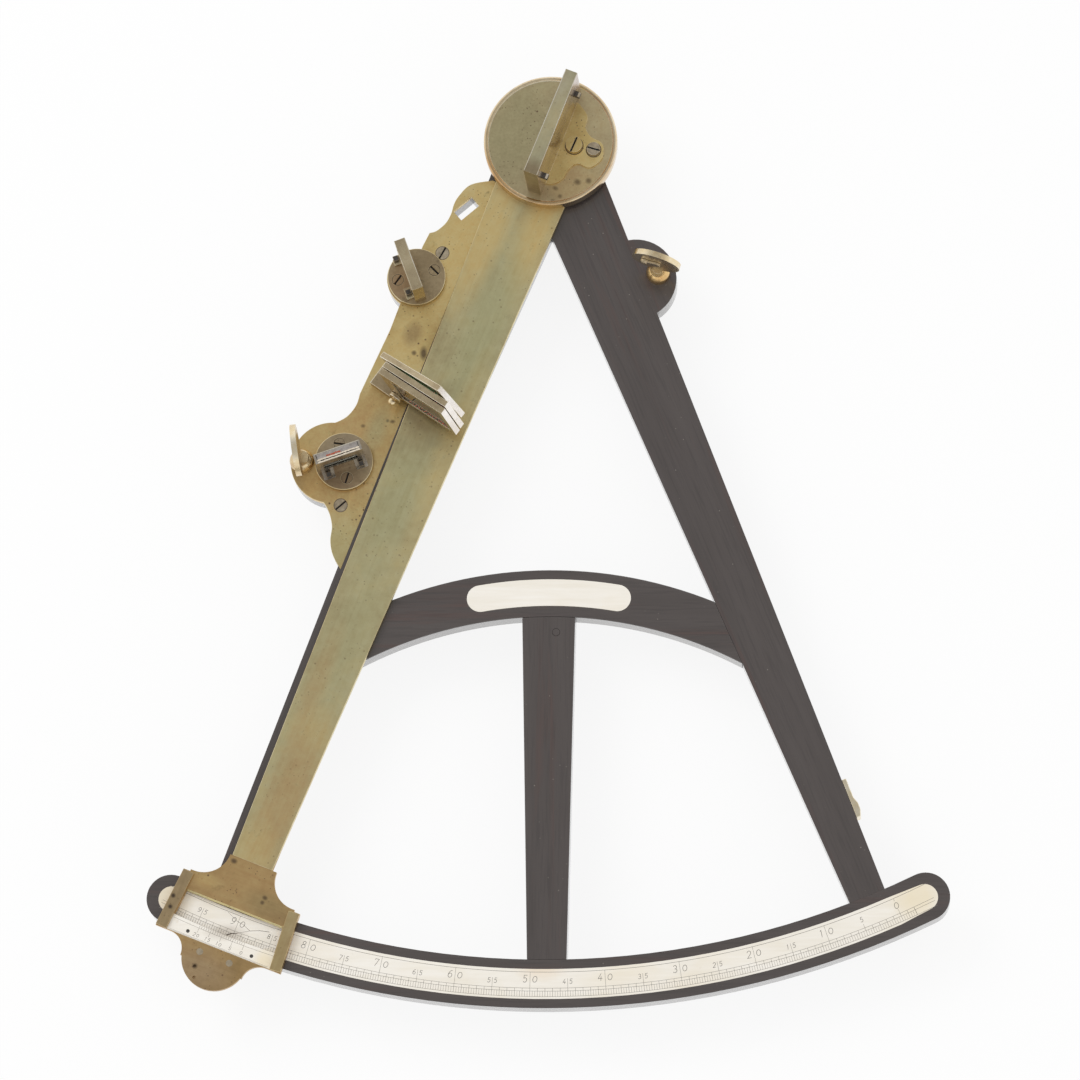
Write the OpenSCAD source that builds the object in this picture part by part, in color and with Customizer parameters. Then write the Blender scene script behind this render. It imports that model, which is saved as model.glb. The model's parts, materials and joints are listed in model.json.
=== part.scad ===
// Octant with fore and back observation sights: a dark wooden frame with a bone degree scale,
// a brass index arm, two horizon glasses, three hinged shades and two peep sights.
// Everything is drawn about the index arm's pivot, with the frame running down towards -Y,
// and is then moved so that the origin lies under the middle of the whole. It lies on three feet.

/* [Scale and limb] */
// Radius of the line that the degrees are read on (15 inches)
scale_r = 381; // [370:0.5:392]
// Wood of the limb inside that line
limb_inside = 12.6; // [11:0.1:14]
// Width of the limb
limb_w = 21.4; // [20:0.1:24]
// Angle from the middle to the centre of each rounded end of the limb
limb_half = 25.9; // [25:0.1:28]
// Width of the bone scale
inlay_w = 13.2; // [12:0.1:15]
// How much further out than the limb's middle the bone runs
inlay_out = 0.05; // [0:0.01:0.3]
// Half angle of the bone, to the centres of its rounded ends
inlay_half = 25.83; // [25:0.01:27]
// Angle over which the bone narrows towards its ends
inlay_taper = 2.2; // [1:0.1:4]
// Radius of the bone's rounded ends
inlay_end_r = 5.8; // [5:0.1:7]
// Thickness of the bone scale
inlay_t = 2; // [1:0.1:3]

/* [Wooden frame] */
// Thickness of the wood
wood_t = 12; // [10:0.5:15]
// Height of the feet that hold the frame off the table
foot_h = 20; // [18:0.5:26]
// Angle between each leg's centre line and the middle
leg_ang = 22.35; // [21.8:0.05:22.8]
// Width of a leg at the pivot
leg_root_w = 33.2; // [30:0.2:36]
// Width of a leg at the limb
leg_limb_w = 16.6; // [14:0.2:18]
// How much further out the left leg's outer edge starts
left_extra = 4.3; // [3:0.1:5]
// Radius of the rounded head about the pivot
head_r = 24; // [21:0.5:28]
// Radius of the ear that carries the fore sight
ear_r = 18.3; // [16:0.1:20]
// Place of the ear's centre in the right leg: outwards from its centre line
ear_out = 11.6; // [10:0.1:13]
// Place of the ear's centre in the right leg: distance from the pivot
ear_down = 71.6; // [66:0.1:78]
// Distance from the pivot to the brace's upper edge
brace_drop = 194.3; // [185:0.1:205]
// Height of the brace at its middle
brace_w = 21.1; // [19:0.1:24]
// Radius of the brace's upper edge
brace_top_r = 189.5; // [180:0.5:200]
// Radius of the brace's lower edge
brace_low_r = 180.8; // [176:0.5:190]
// Width of the strut at the brace
strut_top_w = 24.3; // [20:0.1:28]
// Width of the strut at the limb
strut_low_w = 17.4; // [14:0.1:20]
// Thickness of the tenons
tenon_t = 4; // [3:0.1:5]
// Width of the tenons
tenon_w = 10; // [8:0.5:12]
// Length of the tenons
tenon_len = 10; // [7:0.5:12]
// Radius of the wooden peg
peg_r = 1.6; // [1:0.1:2.2]
// Sideways place of the peg
peg_x = 3.3; // [0:0.1:4]
// Distance of the peg from the brace's lower edge
peg_down = 7; // [5:0.1:9]
// Play between a tenon or shank and its hole
wood_fit = 0.05; // [0.02:0.01:0.1]

/* [Name plate] */
// Width of the bare bone plate on the brace
plate_w = 12; // [9:0.5:14]
// Length of the plate along its curve
plate_len = 73; // [60:1:85]
// Thickness of the plate
plate_t = 1; // [0.8:0.1:1.5]
// Distance of the plate's upper edge from the brace's upper edge
plate_edge = 4.2; // [3:0.1:5.5]

/* [Horizon plate] */
// Thickness of the brass plate under the horizon glasses
hplate_t = 2.5; // [2:0.1:3]
// Distance from the left leg's centre line to the plate's inner edge at the pivot
seam_root = 16.5; // [15:0.1:18]
// Distance from the left leg's centre line to the plate's inner edge at the limb
seam_limb = 8.8; // [8:0.1:10]
// Radius of the plate screws' heads
plate_screw_r = 3; // [2:0.1:3.5]
// Thickness of the plate screws' heads
plate_head_t = 1.2; // [0.8:0.1:1.5]
// Radius of the plate screws' shanks
plate_shank_r = 1.3; // [1:0.1:1.6]
// Depth of the plate screws under the plate's face
plate_screw_len = 7; // [5:0.5:9]
// Turn of the fore plate screw's slot
fore_plate_slot = 83; // [0:1:180]
// Turn of the back plate screw's slot
back_plate_slot = 63; // [0:1:180]
// Radius of the lobe round the fore glass
fore_lobe_r = 13.5; // [13:0.1:15]
// Radius of the lobe round the back glass
back_lobe_r = 18.4; // [16:0.1:20]

/* [Pivot] */
// Radius of the index arm's shaft
shaft_r = 4.5; // [3.5:0.1:5.5]
// Running clearance of the shaft in its bush
shaft_fit = 0.03; // [0.02:0.01:0.06]
// Outer radius of the bush
bush_r = 7; // [6:0.1:8]
// Radius of the bush's flange
bush_flange_r = 11; // [9:0.5:13]
// Height of the flange above the wood
bush_flange_t = 0.4; // [0.3:0.05:0.8]
// Radius of the plate behind the pivot
back_plate_r = 22; // [18:0.5:23]
// Thickness of the plate behind the pivot
back_plate_t = 2; // [1.5:0.1:3]
// Radius of the pivot's washer
washer_r = 9; // [8:0.5:12]
// Thickness of the pivot's washer
washer_t = 1.5; // [1:0.1:2]
// End play between the arm and its seats
end_play = 0.05; // [0.03:0.01:0.1]
// Length of the screw holes in the shaft and spindles
tap_len = 8; // [6:0.5:10]
// Radius of the head of the screw under the shaft
pivot_screw_r = 6; // [5:0.1:7]

/* [Index arm] */
// Angle of the arm from the middle as it lies in the photograph
arm_rest = 21.7; // [20:0.1:22]
// Thickness of the arm
arm_t = 2.6; // [2:0.1:3.5]
// Width of the arm at the pivot
arm_root_w = 34.4; // [30:0.2:36]
// Width of the arm at its lower end
arm_end_w = 19; // [16:0.2:21]
// Distance from the arm's lower end to the degree line
arm_short = 30.5; // [28:0.5:36]
// Overlap of the arm on the end plate
lap_len = 10; // [6:0.5:14]
// Radius of the disc at the arm's head
disc_r = 29.9; // [29:0.1:32]
// Thickness of the disc
disc_t = 6.5; // [5:0.1:8]
// Width of the disc's rounded rim
rim_w = 2.3; // [1.5:0.1:3]
// Height of the rim above the disc's face
rim_h = 0.5; // [0.3:0.1:0.8]

/* [End plate] */
// Sideways shift of the end plate on the arm
end_shift = 0.65; // [0:0.05:1.5]
// Width of the end plate's neck
neck_w = 22; // [20:0.5:24]
// Radius of the hollow shoulders
shoulder_r = 12.5; // [10:0.5:13]
// Height of the shoulders above the rails' ends
shoulder_step = 0.8; // [0.4:0.1:1.2]
// Angle from the end plate's middle to its radial sides
end_half = 4.34; // [4:0.01:4.7]
// Distance of the plate's upper edge from the degree line
end_up = 17.2; // [16:0.1:19]
// Distance of the plate's lower edge from the degree line
end_low = 10.4; // [9.9:0.1:12]
// Width of each rail
rail_w = 5.1; // [4:0.1:6]
// Thickness of the rails
rail_t = 1.6; // [1:0.1:2.5]
// Height of the window from the degree line to its upper edge
window_up = 9.3; // [8.5:0.1:11]
// Radius of the hollow corners under the plate
hollow_r = 8.3; // [7:0.1:9]
// Radius of the rounded lobe at the bottom
lobe_r = 14.5; // [13:0.1:16]
// Distance of the lobe's centre from the degree line
lobe_down = 14.5; // [13:0.1:16]
// Distance from the degree line to the vernier's reading edge
vernier_gap = 3.6; // [3.3:0.1:4.5]
// Thickness of the brass ledge under the vernier
ledge_t = 1; // [0.6:0.1:1.4]
// Distance of the ledge's edge behind the vernier's reading edge
ledge_out = 1.5; // [1:0.1:2.5]
// Width of the plate's edge left beside the rails
window_lip = 0.3; // [0.2:0.05:0.6]
// Radius of the vernier's pins
vernier_pin_r = 0.8; // [0.5:0.1:1]

/* [Index mirror] */
// Length of the mirror frame
mirror_len = 50; // [44:0.5:54]
// Height of the mirror frame
mirror_h = 34; // [28:0.5:38]
// Thickness of the mirror frame at its upper end
mirror_t = 5.5; // [5:0.1:7]
// Thickness of the mirror frame at its lower end
mirror_low_t = 6.4; // [5:0.1:7.5]
// Distance from the pivot's centre to the frame's reflecting side
mirror_face = 0.75; // [0.5:0.05:2]
// Shift of the frame along the arm
mirror_shift = 0.1; // [0:0.1:2]
// Thickness of the mirror glass
mirror_glass_t = 3.2; // [2.5:0.1:3.6]
// Width of the frame's metal round the glass
mirror_rim = 2.2; // [1.8:0.1:3]
// Thickness of the lip in front of the glass
mirror_lip = 0.8; // [0.5:0.1:1]
// Metal left round the glass's pocket
pocket_in = 1.2; // [1:0.1:1.6]
// Thickness of the mirror's foot bracket
bracket_t = 1.2; // [1:0.1:2]
// Radius of the large bracket screw's head
big_screw_r = 3.7; // [3:0.1:4]
// Radius of the small bracket screw's head
small_screw_r = 3; // [2.5:0.1:3.4]
// Distance of the mirror's clamping screws from the frame's middle
adjuster_out = 20; // [17:0.5:22]
// Radius of those screws' shanks
adjuster_r = 0.8; // [0.6:0.1:1]

/* [Clamp] */
// Thickness of the clamp's foot under the limb
clamp_foot_t = 3; // [2.5:0.1:3.5]
// Width of the clamp bracket
clamp_w = 13.5; // [12:0.5:16]
// Sideways shift of the clamp bracket
clamp_shift = 2.25; // [0:0.25:3]
// Width of the bracket's head, under the lobe
clamp_boss_w = 20; // [18:0.5:22]
// Height of the bracket's head
clamp_boss_h = 6; // [5:0.5:8]
// Distance of the bracket's screws from the middle
clamp_screw_out = 7; // [6:0.1:8]
// Radius of the bracket's screws
clamp_rivet_r = 1.5; // [1.2:0.1:1.8]
// Gap between the limb's outer edge and the bracket
limb_clear = 0.8; // [0.5:0.1:1.2]
// Gap between the clamp's spring and the wood
spring_gap = 0.3; // [0.2:0.05:0.6]
// Thickness of the leaf spring
spring_t = 0.7; // [0.5:0.1:1]
// Width of the leaf spring
spring_w = 9; // [8:0.5:10]
// Radius of the thumb screw's thread
clamp_screw_r = 2.5; // [2:0.1:3]
// Radius of the thumb screw's knurled head
clamp_head_r = 7; // [6:0.5:9]
// Thickness of the thumb screw's knurled head
clamp_head_t = 5; // [4:0.5:6]

/* [Horizon glasses] */
// Radius of the round bases
base_r = 13; // [12:0.1:13.4]
// Thickness of the round bases
base_t = 3; // [2.5:0.1:4]
// Radius of the spindles through the frame
spindle_r = 4; // [3:0.1:5]
// Running clearance of spindles and lock screws
spindle_fit = 0.04; // [0.02:0.01:0.08]
// Place of the fore glass in the left leg: outwards from its centre line
fore_out = 32.3; // [31:0.1:34]
// Place of the fore glass in the left leg: distance from the pivot
fore_down = 78.9; // [77:0.1:81]
// Place of the back glass in the left leg: outwards from its centre line
back_out = 29.4; // [28:0.1:31]
// Place of the back glass in the left leg: distance from the pivot
back_down = 168.9; // [167:0.1:171]
// Height of the glass holders
holder_h = 22; // [18:0.5:26]
// Length of the fore holder
fore_len = 24.2; // [22:0.1:25]
// Thickness of the fore holder
fore_t = 5; // [4.5:0.1:6]
// Length of the back holder
back_len = 21.5; // [20:0.1:24]
// Thickness of the back holder
back_t = 4.6; // [4.4:0.1:5.5]
// Angle of the fore holder from the left leg's centre line
fore_turn = 42.7; // [40:0.1:46]
// Angle of the back holder from the left leg's centre line
back_turn = 131.15; // [128:0.1:134]
// Radius of the base screws' heads
base_screw_r = 2.5; // [2:0.1:2.8]
// Depth of the base screws' heads
base_screw_deep = 1; // [0.8:0.1:1.2]
// Radius of the base screws' shanks
base_shank_r = 1; // [0.8:0.1:1.2]
// Side of the square-headed adjusting screws
square_w = 2.4; // [2:0.1:3]
// Thickness of the tabs under the adjusting screws
tab_t = 1.2; // [1:0.1:1.6]
// Length of the tabs
tab_len = 3.2; // [2.8:0.1:3.6]
// Width of the tabs
tab_w = 5.4; // [4:0.1:6]

/* [Levers] */
// Distance from a spindle to its lock screw
lever_len = 30; // [26:0.5:34]
// Thickness of the levers
lever_t = 2.5; // [2:0.1:3]
// Radius of the lever's hub
lever_hub_r = 7; // [6:0.1:8]
// Half of the angle that a lever can move each way
lever_swing = 5; // [4:0.5:6]
// Angle of the levers from the left leg's centre line
lever_ang = 31.8; // [29:0.1:34]
// Radius of the lock screws' shanks
lock_r = 1.9; // [1.5:0.1:2.2]
// Radius of the lock screws' heads
lock_head_r = 6; // [5:0.1:7]
// Depth of the lock screws in the wood
lock_deep = 7; // [6:0.5:8]
// Play of a lock screw's shank in the lever's slot
slot_play = 1; // [0.8:0.1:1.4]

/* [Shades] */
// Width of a shade's frame
shade_w = 36; // [32:0.5:38]
// Height of a shade's frame
shade_h = 27.4; // [24:0.2:30]
// Thickness of a shade's frame
shade_t = 2.8; // [2.4:0.1:3]
// Distance from one shade to the next
shade_pitch = 3.3; // [3.2:0.05:3.6]
// Height of the shades' pin above the frame's face
shade_pin_z = 9; // [8.6:0.1:11]
// Radius of the shades' pin
shade_pin_r = 1.2; // [1:0.1:1.4]
// Distance from the pin to the near edges of a shade
shade_corner = 2.6; // [2.3:0.1:2.9]
// Thickness of the coloured glasses
shade_glass_t = 1.4; // [1:0.1:1.6]
// Width of a shade's border
shade_rim = 3; // [2.5:0.1:4]
// Turn of the first shade, nearest the mirror
shade_turn_1 = 23.5; // [0:0.5:90]
// Turn of the second shade
shade_turn_2 = 13.5; // [0:0.5:90]
// Turn of the third shade
shade_turn_3 = 12.5; // [0:0.5:90]
// Length of the sockets for the shades
socket_len = 10.4; // [9.5:0.1:11]
// Distance of the shades' tenon from their pin
tenon_back = 3.9; // [3.5:0.1:4.5]
// Width of the sockets for the shades
socket_w = 5.4; // [5:0.1:5.6]
// Depth of the tenon in its socket
socket_deep = 12; // [9:0.5:13]
// Length of the shades' block
block_len = 13.7; // [12:0.1:15]
// Height of the shades' block
block_h = 5.5; // [4.5:0.1:6]
// Thickness of the cheeks beside the shades
cheek_t = 1.5; // [1.2:0.1:2.4]
// Width of a cheek's rounded top
cheek_w = 6; // [5:0.1:7]
// Overlap of a shade's glass on its border
glass_lap = 0.8; // [0.5:0.1:1.2]
// Play of the tenon in its socket on each side
socket_fit = 0.1; // [0.05:0.01:0.15]
// Play between flat faces that move on each other
rest_gap = 0.1; // [0.05:0.01:0.2]

/* [Sights] */
// Radius of the sights' domed feet
sight_foot_r = 5.4; // [5:0.1:5.6]
// Radius of the fore sight's vane
fore_vane_r = 11; // [10:0.1:12]
// Radius of the back sight's vane
back_vane_r = 11.5; // [10.5:0.1:12.5]
// Thickness of the vanes
vane_t = 2.5; // [2:0.1:3]
// Height of the vanes' centres above the frame's face
vane_z = 23; // [21:0.5:26]
// Radius of the sights' swivel spigots
spigot_r = 2.2; // [1.8:0.1:2.6]
// Radius of the peep holes
peep_r = 0.6; // [0.4:0.1:0.9]
// Distance between the fore sight's two peep holes
peep_apart = 3; // [2.4:0.1:4]
// Thickness of the fore sight's shutter
shutter_t = 1; // [0.6:0.1:1.4]
// Distance of the shutter's pin from the peep holes
shutter_out = 5; // [4:0.1:6]
// Radius of the sights' shanks in the wood
sight_shank_r = 3; // [2.8:0.1:3.5]
// Length of the sights' shanks
sight_shank_len = 8; // [7:0.5:10]
// Turn of the fore sight's vane away from its working line
fore_sight_turn = 72.4; // [0:0.1:80]
// Turn of the back sight's vane away from its working line
back_sight_turn = 7.7; // [0:0.1:80]

/* [Fittings] */
// Radius of the feet's flanges
foot_r = 7; // [6:0.1:8]
// Radius of the feet's stems
foot_stem_r = 4; // [3:0.1:5]
// Radius of the feet's shanks in the wood
foot_shank_r = 2; // [1.5:0.1:2.5]
// Length of the feet's shanks in the wood
foot_shank_len = 8; // [6:0.5:9]
// Distance of the head foot from the pivot
head_foot_y = 31; // [29.5:0.5:32]
// Length of the brass clip on the right leg
clip_len = 18; // [14:0.5:22]
// Thickness of the clip
clip_t = 2; // [1.5:0.1:3]
// Height of the clip
clip_h = 9; // [6:0.5:10]
// Distance of the clip's middle from the limb
clip_up = 42.9; // [30:0.1:60]

/* [Hidden] */

ebony = "#2b2523";
brass = "#b39a5c";
dull_brass = "#8f8458";
bone = "#e9e0cc";
steel = "#6e6a62";
glass_clear = "#b9c4c0";
glass_green = "#4f6b52";
glass_red = "#6b2f26";

$fn = 48;
ring_fn = 240;
step = 0.01;

limb_in_r = scale_r - limb_inside;
limb_mid_r = limb_in_r + limb_w / 2;
limb_out_r = limb_in_r + limb_w;
centre_y = (limb_out_r - disc_r) / 2;
arm_len = scale_r - arm_short;
clip_down = limb_in_r - clip_up;
clip_edge = leg_root_w / 2 - (leg_root_w - leg_limb_w) / 2 * clip_down / limb_in_r;
clip_tilt = atan((leg_root_w - leg_limb_w) / 2 / limb_in_r);
plate_r = brace_top_r - plate_edge - plate_w / 2;
wood_z = foot_h;
face_z = foot_h + wood_t;
mid_z = wood_z + wood_t / 2;
arm_z = face_z + bush_flange_t + end_play;
arm_top = arm_z + arm_t;
disc_top = arm_top + disc_t;
disc_flat = disc_top - rim_h;
plate_under = wood_z - back_plate_t;
washer_top = plate_under - end_play - 0.25;
shaft_low = washer_top - washer_t;
slot_w = 0.8;
slot_d = 0.6;

// End plate, measured from the pivot along the arm
end_top = scale_r - end_up;
end_bottom = scale_r + end_low;
shoulder_y = -end_top + shoulder_step + shoulder_r;
vernier_r = scale_r + vernier_gap;
lobe_y = -scale_r - lobe_down;
vernier_pin_x = [-15.4, 14.9];
vernier_pin_y = -end_bottom + 2.6;
lobe_pin_at = [[-6.6, lobe_y - 6.5], [-5, lobe_y - 11.2]];

// Clamp
spring_z = wood_z - spring_gap - spring_t;
spring_side = 1;
clamp_foot_z = spring_z - 5.5 - clamp_foot_t;
clamp_y1 = -limb_out_r - limb_clear;
clamp_y0 = clamp_y1 - 9.4;
clamp_screw_x = [-clamp_screw_out, clamp_screw_out];
clamp_screw_y = (clamp_y0 + clamp_y1) / 2;
clamp_screw_down = -limb_mid_r;

// Index mirror, in the arm's own frame
mirror_x0 = -mirror_face;
mirror_x1 = mirror_x0 + (mirror_t + mirror_low_t) / 2;
mirror_y0 = mirror_shift - mirror_len / 2;
mirror_y1 = mirror_shift + mirror_len / 2;
mirror_screw_at = [[11, 1.4, 1.5], [19.8, 2.8, 1.2]];
adjuster_z = disc_flat + mirror_h / 2;

// Places in the left leg's own frame, which runs down -Y from the pivot with its outside at -X
fore_at = [-fore_out, -fore_down];
back_at = [-back_out, -back_down];
fore_socket_at = fore_at + [8, 38];
fore_socket_turn = 62.35;
shades_at = back_at + [12.25, 40];
shades_turn = -13.45;
back_sight_at = back_at + [-17.75, -6.6];
back_vane_shift = 0.6;
spindle_seats = [fore_at, back_at];
lever_dir = [sin(lever_ang), -cos(lever_ang)];
fore_screw_at = fore_at + [6, 15];
back_screw_at = back_at + [6, -18.5];
back_lobe_at = back_at + [-5.2, -2.1];
ear_at = [ear_out, -ear_down];
fore_sight_at = ear_at + [10.4, -1.5];

// Outline of the lobes outside the left leg, each stretch a smooth curve through a few points
shoulder = [[14, 54.5], [5.5, 49], [2.5, 42], [2, 37.5], [2.5, 33.5], [2, 28.5], [-0.5, 23.5], [-3, 21.5]];
waist_top = [[-3.5, 14.5], [-2.5, -14], [-2, -26.5]];
waist_low = [[-6, 31.5], [-5.5, 26], [-7.5, 19.5], [-12.5, 14], [-18, 10], [-22.5, 4]];
tail = [[-17, -14], [-9.5, -18.5], [-3, -19.5], [2, -23], [6, -28.5], [8, -35], [11.5, -40.5], [17.5, -45.5]];
bracket_curve = [
    [5.5, 20.5], [11.2, 16.6], [12.6, 11.1], [16.5, 8], [21.6, 7.3], [24.1, 4.3], [24.6, -0.3], [21.1, -5.4],
    [15.7, -5.6], [13.1, -8.5], [11.9, -14.4], [8.9, -18.1], [5.5, -19.3]
];

// Horizon glasses, each in its own frame with the holder along Y
base_z = face_z + rest_gap;
holder_z = base_z + base_t;
lever_top = wood_z - rest_gap * 3;
lever_low = lever_top - lever_t;
fore_x1 = 0.7;
fore_x0 = fore_x1 - fore_t;
fore_y0 = 0.9 - fore_len / 2;
fore_y1 = 0.9 + fore_len / 2;
fore_pane_x0 = fore_x0 + 1.2;
fore_pane_x1 = fore_x1 - 0.8;
fore_seats = [[-8.3, 1.6, 34.65], [8.5, 0, -65.35]];
fore_adjusters = [[fore_x0 - 1.6, 10.4], [fore_x0 - 1.6, -6.2]];
back_x0 = -2.75;
back_x1 = back_x0 + back_t;
back_y0 = 1.15 - back_len / 2;
back_y1 = 1.15 + back_len / 2;
back_pane_x0 = back_x1 - 2.9;
back_pane_x1 = back_x1 - 0.6;
back_seats = [[8.25, -0.6, 63.2], [-7.65, 1.1, -35.8]];
back_adjusters = [[back_x0 - 1.6, 8.2], [back_x0 - 1.6, -7]];

// Shades, turning on a pin along the local Y axis
shade_half = shade_pitch + shade_t / 2;
cheek_in = shade_half + 0.25;
cheek_out = cheek_in + cheek_t;
shade_turns = [shade_turn_1, shade_turn_2, shade_turn_3];
win_x0 = shade_pin_r + 2;
win_x1 = shade_w - shade_corner - shade_rim;
win_z0 = shade_rim - shade_corner;
win_z1 = shade_h - shade_corner - shade_rim;

// Sights, above the frame's face
dome_top = 1.5 + sight_foot_r - 1;
stem_top = vane_z - fore_vane_r + 3;
shutter_at = [0, shutter_out, vane_z];

function from(place, list) = [for (q = list) place + q];

function smooth(p, n) = concat([for (i = [0 : len(p) - 2], k = [0 : n - 1])
    let (a = p[max(i - 1, 0)], b = p[i], c = p[i + 1], d = p[min(i + 2, len(p) - 1)], t = k / n)
    0.5 * (2 * b + (c - a) * t + (2 * a - 5 * b + 4 * c - d) * t * t + (3 * b - a - 3 * c + d) * t * t * t)],
    [p[len(p) - 1]]);

// Frames of reference

module about_pivot() translate([0, centre_y, 0]) children();

module in_left_leg() about_pivot() rotate([0, 0, -leg_ang]) children();

module in_right_leg() about_pivot() rotate([0, 0, leg_ang]) children();

module on_arm() about_pivot() rotate([0, 0, -arm_rest]) children();

module on_fore_glass() in_left_leg() translate(fore_at) rotate([0, 0, fore_turn]) children();

module on_back_glass() in_left_leg() translate(back_at) rotate([0, 0, back_turn]) children();

module on_shades()
    in_left_leg() translate([shades_at[0], shades_at[1], face_z]) rotate([0, 0, shades_turn]) children();

module on_fore_sight()
    in_right_leg() translate([fore_sight_at[0], fore_sight_at[1], face_z])
    rotate([0, 0, -leg_ang + fore_sight_turn]) children();

module on_back_sight()
    in_left_leg() translate([back_sight_at[0], back_sight_at[1], face_z])
    rotate([0, 0, leg_ang + back_sight_turn]) children();

// Shared shapes

// Sector of a flat ring with round ends, centred on -Y about the pivot
module round_band(r_mid, w, half, h)
    linear_extrude(h) {
        intersection() {
            difference() {
                circle(r = r_mid + w / 2, $fn = ring_fn);
                circle(r = r_mid - w / 2, $fn = ring_fn);
            }
            polygon([[0, 0], [2 * r_mid * sin(half), -2 * r_mid * cos(half)],
                [-2 * r_mid * sin(half), -2 * r_mid * cos(half)]]);
        }
        for (a = [-90 - half, -90 + half]) translate([r_mid * cos(a), r_mid * sin(a)]) circle(r = w / 2);
    }

module bar(x0, x1, y0, y1, z0, z1) translate([x0, y0, z0]) cube([x1 - x0, y1 - y0, z1 - z0]);

// Screw pointing down from its seat, with a slotted head above it
module screw(head_r, head_t, shank_r, shank_len, slot = 20) {
    difference() {
        cylinder(r = head_r, h = head_t);
        rotate([0, 0, slot]) bar(-head_r - 1, head_r + 1, -slot_w / 2, slot_w / 2, head_t - slot_d,
            head_t + 1);
    }
    translate([0, 0, -shank_len]) cylinder(r = shank_r, h = shank_len + step);
}

// Knurled head: a round disc with shallow flutes cut round it
module knurled(r, h, flutes)
    difference() {
        cylinder(r = r, h = h);
        for (i = [0 : flutes - 1]) rotate([0, 0, i * 360 / flutes])
            translate([r + 0.5, 0, -1]) cylinder(r = 1, h = h + 2, $fn = 16);
    }

// Wooden frame outlines, seen from the front

module leg_plan(outer_root)
    intersection() {
        polygon([
            [-leg_root_w / 2, 0], [outer_root, 0],
            [leg_limb_w / 2, -limb_in_r], [-leg_limb_w / 2, -limb_in_r]
        ]);
        circle(r = limb_in_r, $fn = ring_fn);
    }

module lobes_plan() {
    end_in = [0, back_at[1] + tail[len(tail) - 1][1]];
    start_in = [0, fore_at[1] + shoulder[0][1]];
    polygon(concat(
        smooth(from(fore_at, shoulder), 5), from(fore_at, waist_top), smooth(from(back_at, waist_low), 5),
        smooth(from(back_at, tail), 5), [end_in, start_in]
    ));
    translate(fore_at) circle(r = fore_lobe_r);
    translate(back_lobe_at) circle(r = back_lobe_r, $fn = 72);
}

module left_plan() {
    rotate([0, 0, -leg_ang]) {
        mirror([1, 0, 0]) leg_plan(leg_root_w / 2 + left_extra);
        lobes_plan();
    }
    circle(r = head_r, $fn = 72);
}

module right_plan() {
    rotate([0, 0, leg_ang]) {
        leg_plan(leg_root_w / 2);
        translate(ear_at) circle(r = ear_r, $fn = 72);
    }
    circle(r = head_r, $fn = 72);
}

module horizon_plan()
    difference() {
        lobes_plan();
        polygon([[-seam_root, 0], [-seam_limb, -limb_in_r], [leg_limb_w, -limb_in_r], [leg_root_w, 0]]);
    }

// Band between the brace's two arcs, narrowed by a shoulder on each side
module brace_band(shoulder_in)
    difference() {
        translate([0, -brace_drop - brace_top_r]) circle(r = brace_top_r - shoulder_in, $fn = ring_fn);
        translate([0, -brace_drop - brace_w - brace_low_r]) circle(r = brace_low_r + shoulder_in, $fn =
            ring_fn);
    }

module between_centre_lines()
    polygon([[0, 0], [limb_in_r * tan(leg_ang), -limb_in_r], [-limb_in_r * tan(leg_ang), -limb_in_r]]);

module brace_tenons(fit)
    translate([0, 0, mid_z - tenon_t / 2 - fit]) linear_extrude(tenon_t + 2 * fit)
    intersection() {
        brace_band((brace_w - tenon_w) / 2 - fit);
        between_centre_lines();
        translate([-limb_in_r, -brace_drop - brace_w - 40]) square([2 * limb_in_r, brace_w + 40]);
    }

module leg_tenon(fit)
    bar(-tenon_w / 2 - fit, tenon_w / 2 + fit, -limb_in_r - tenon_len - fit, -limb_in_r + 4,
        mid_z - tenon_t / 2 - fit, mid_z + tenon_t / 2 + fit);

module strut_tongue(fit)
    bar(-tenon_w / 2 - 1 - fit, tenon_w / 2 + 1 + fit, -brace_drop - brace_w - tenon_len - 2 - fit,
        -brace_drop - brace_w + 3, mid_z - tenon_t / 2 - fit, mid_z + tenon_t / 2 + fit);

// Holes that several frame pieces share

module pivot_hole() translate([0, 0, wood_z - 1]) cylinder(r = bush_r, h = wood_t + 2);

module foot_places() {
    translate([0, -head_foot_y]) children();
    for (a = [-90 - limb_half, -90 + limb_half]) translate([limb_mid_r * cos(a), limb_mid_r * sin(a)])
        children();
}

module foot_holes()
    foot_places() translate([0, 0, wood_z - 1]) cylinder(r = foot_shank_r + wood_fit, h = foot_shank_len + 1);

module back_screw_places()
    for (a = [90, 210, 330]) rotate([0, 0, a]) translate([back_plate_r - 5, 0]) children();

module back_screw_holes(r)
    back_screw_places() translate([0, 0, wood_z - back_plate_t - 1]) cylinder(r = r, h = back_plate_t + 6);

module socket(at, turn, z0, z1)
    translate(at) rotate([0, 0, turn]) bar(-socket_len / 2, socket_len / 2, -socket_w / 2, socket_w / 2,
        z0, z1);

module sockets(z0, z1) {
    socket(fore_socket_at, fore_socket_turn, z0, z1);
    translate(shades_at) rotate([0, 0, shades_turn]) socket([-tenon_back, 0], 90, z0, z1);
}

module spindle_holes(z0, z1)
    for (p = spindle_seats) translate([p[0], p[1], z0]) cylinder(r = spindle_r + spindle_fit, h = z1 - z0);

module lock_holes()
    for (p = spindle_seats) translate([p[0] + lever_len * lever_dir[0], p[1] + lever_len * lever_dir[1],
        wood_z - 1])
        cylinder(r = lock_r + spindle_fit, h = lock_deep + 1.5);

module plate_screw_places() {
    translate(fore_screw_at) children();
    translate(back_screw_at) children();
}

// Frame pieces

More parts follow.
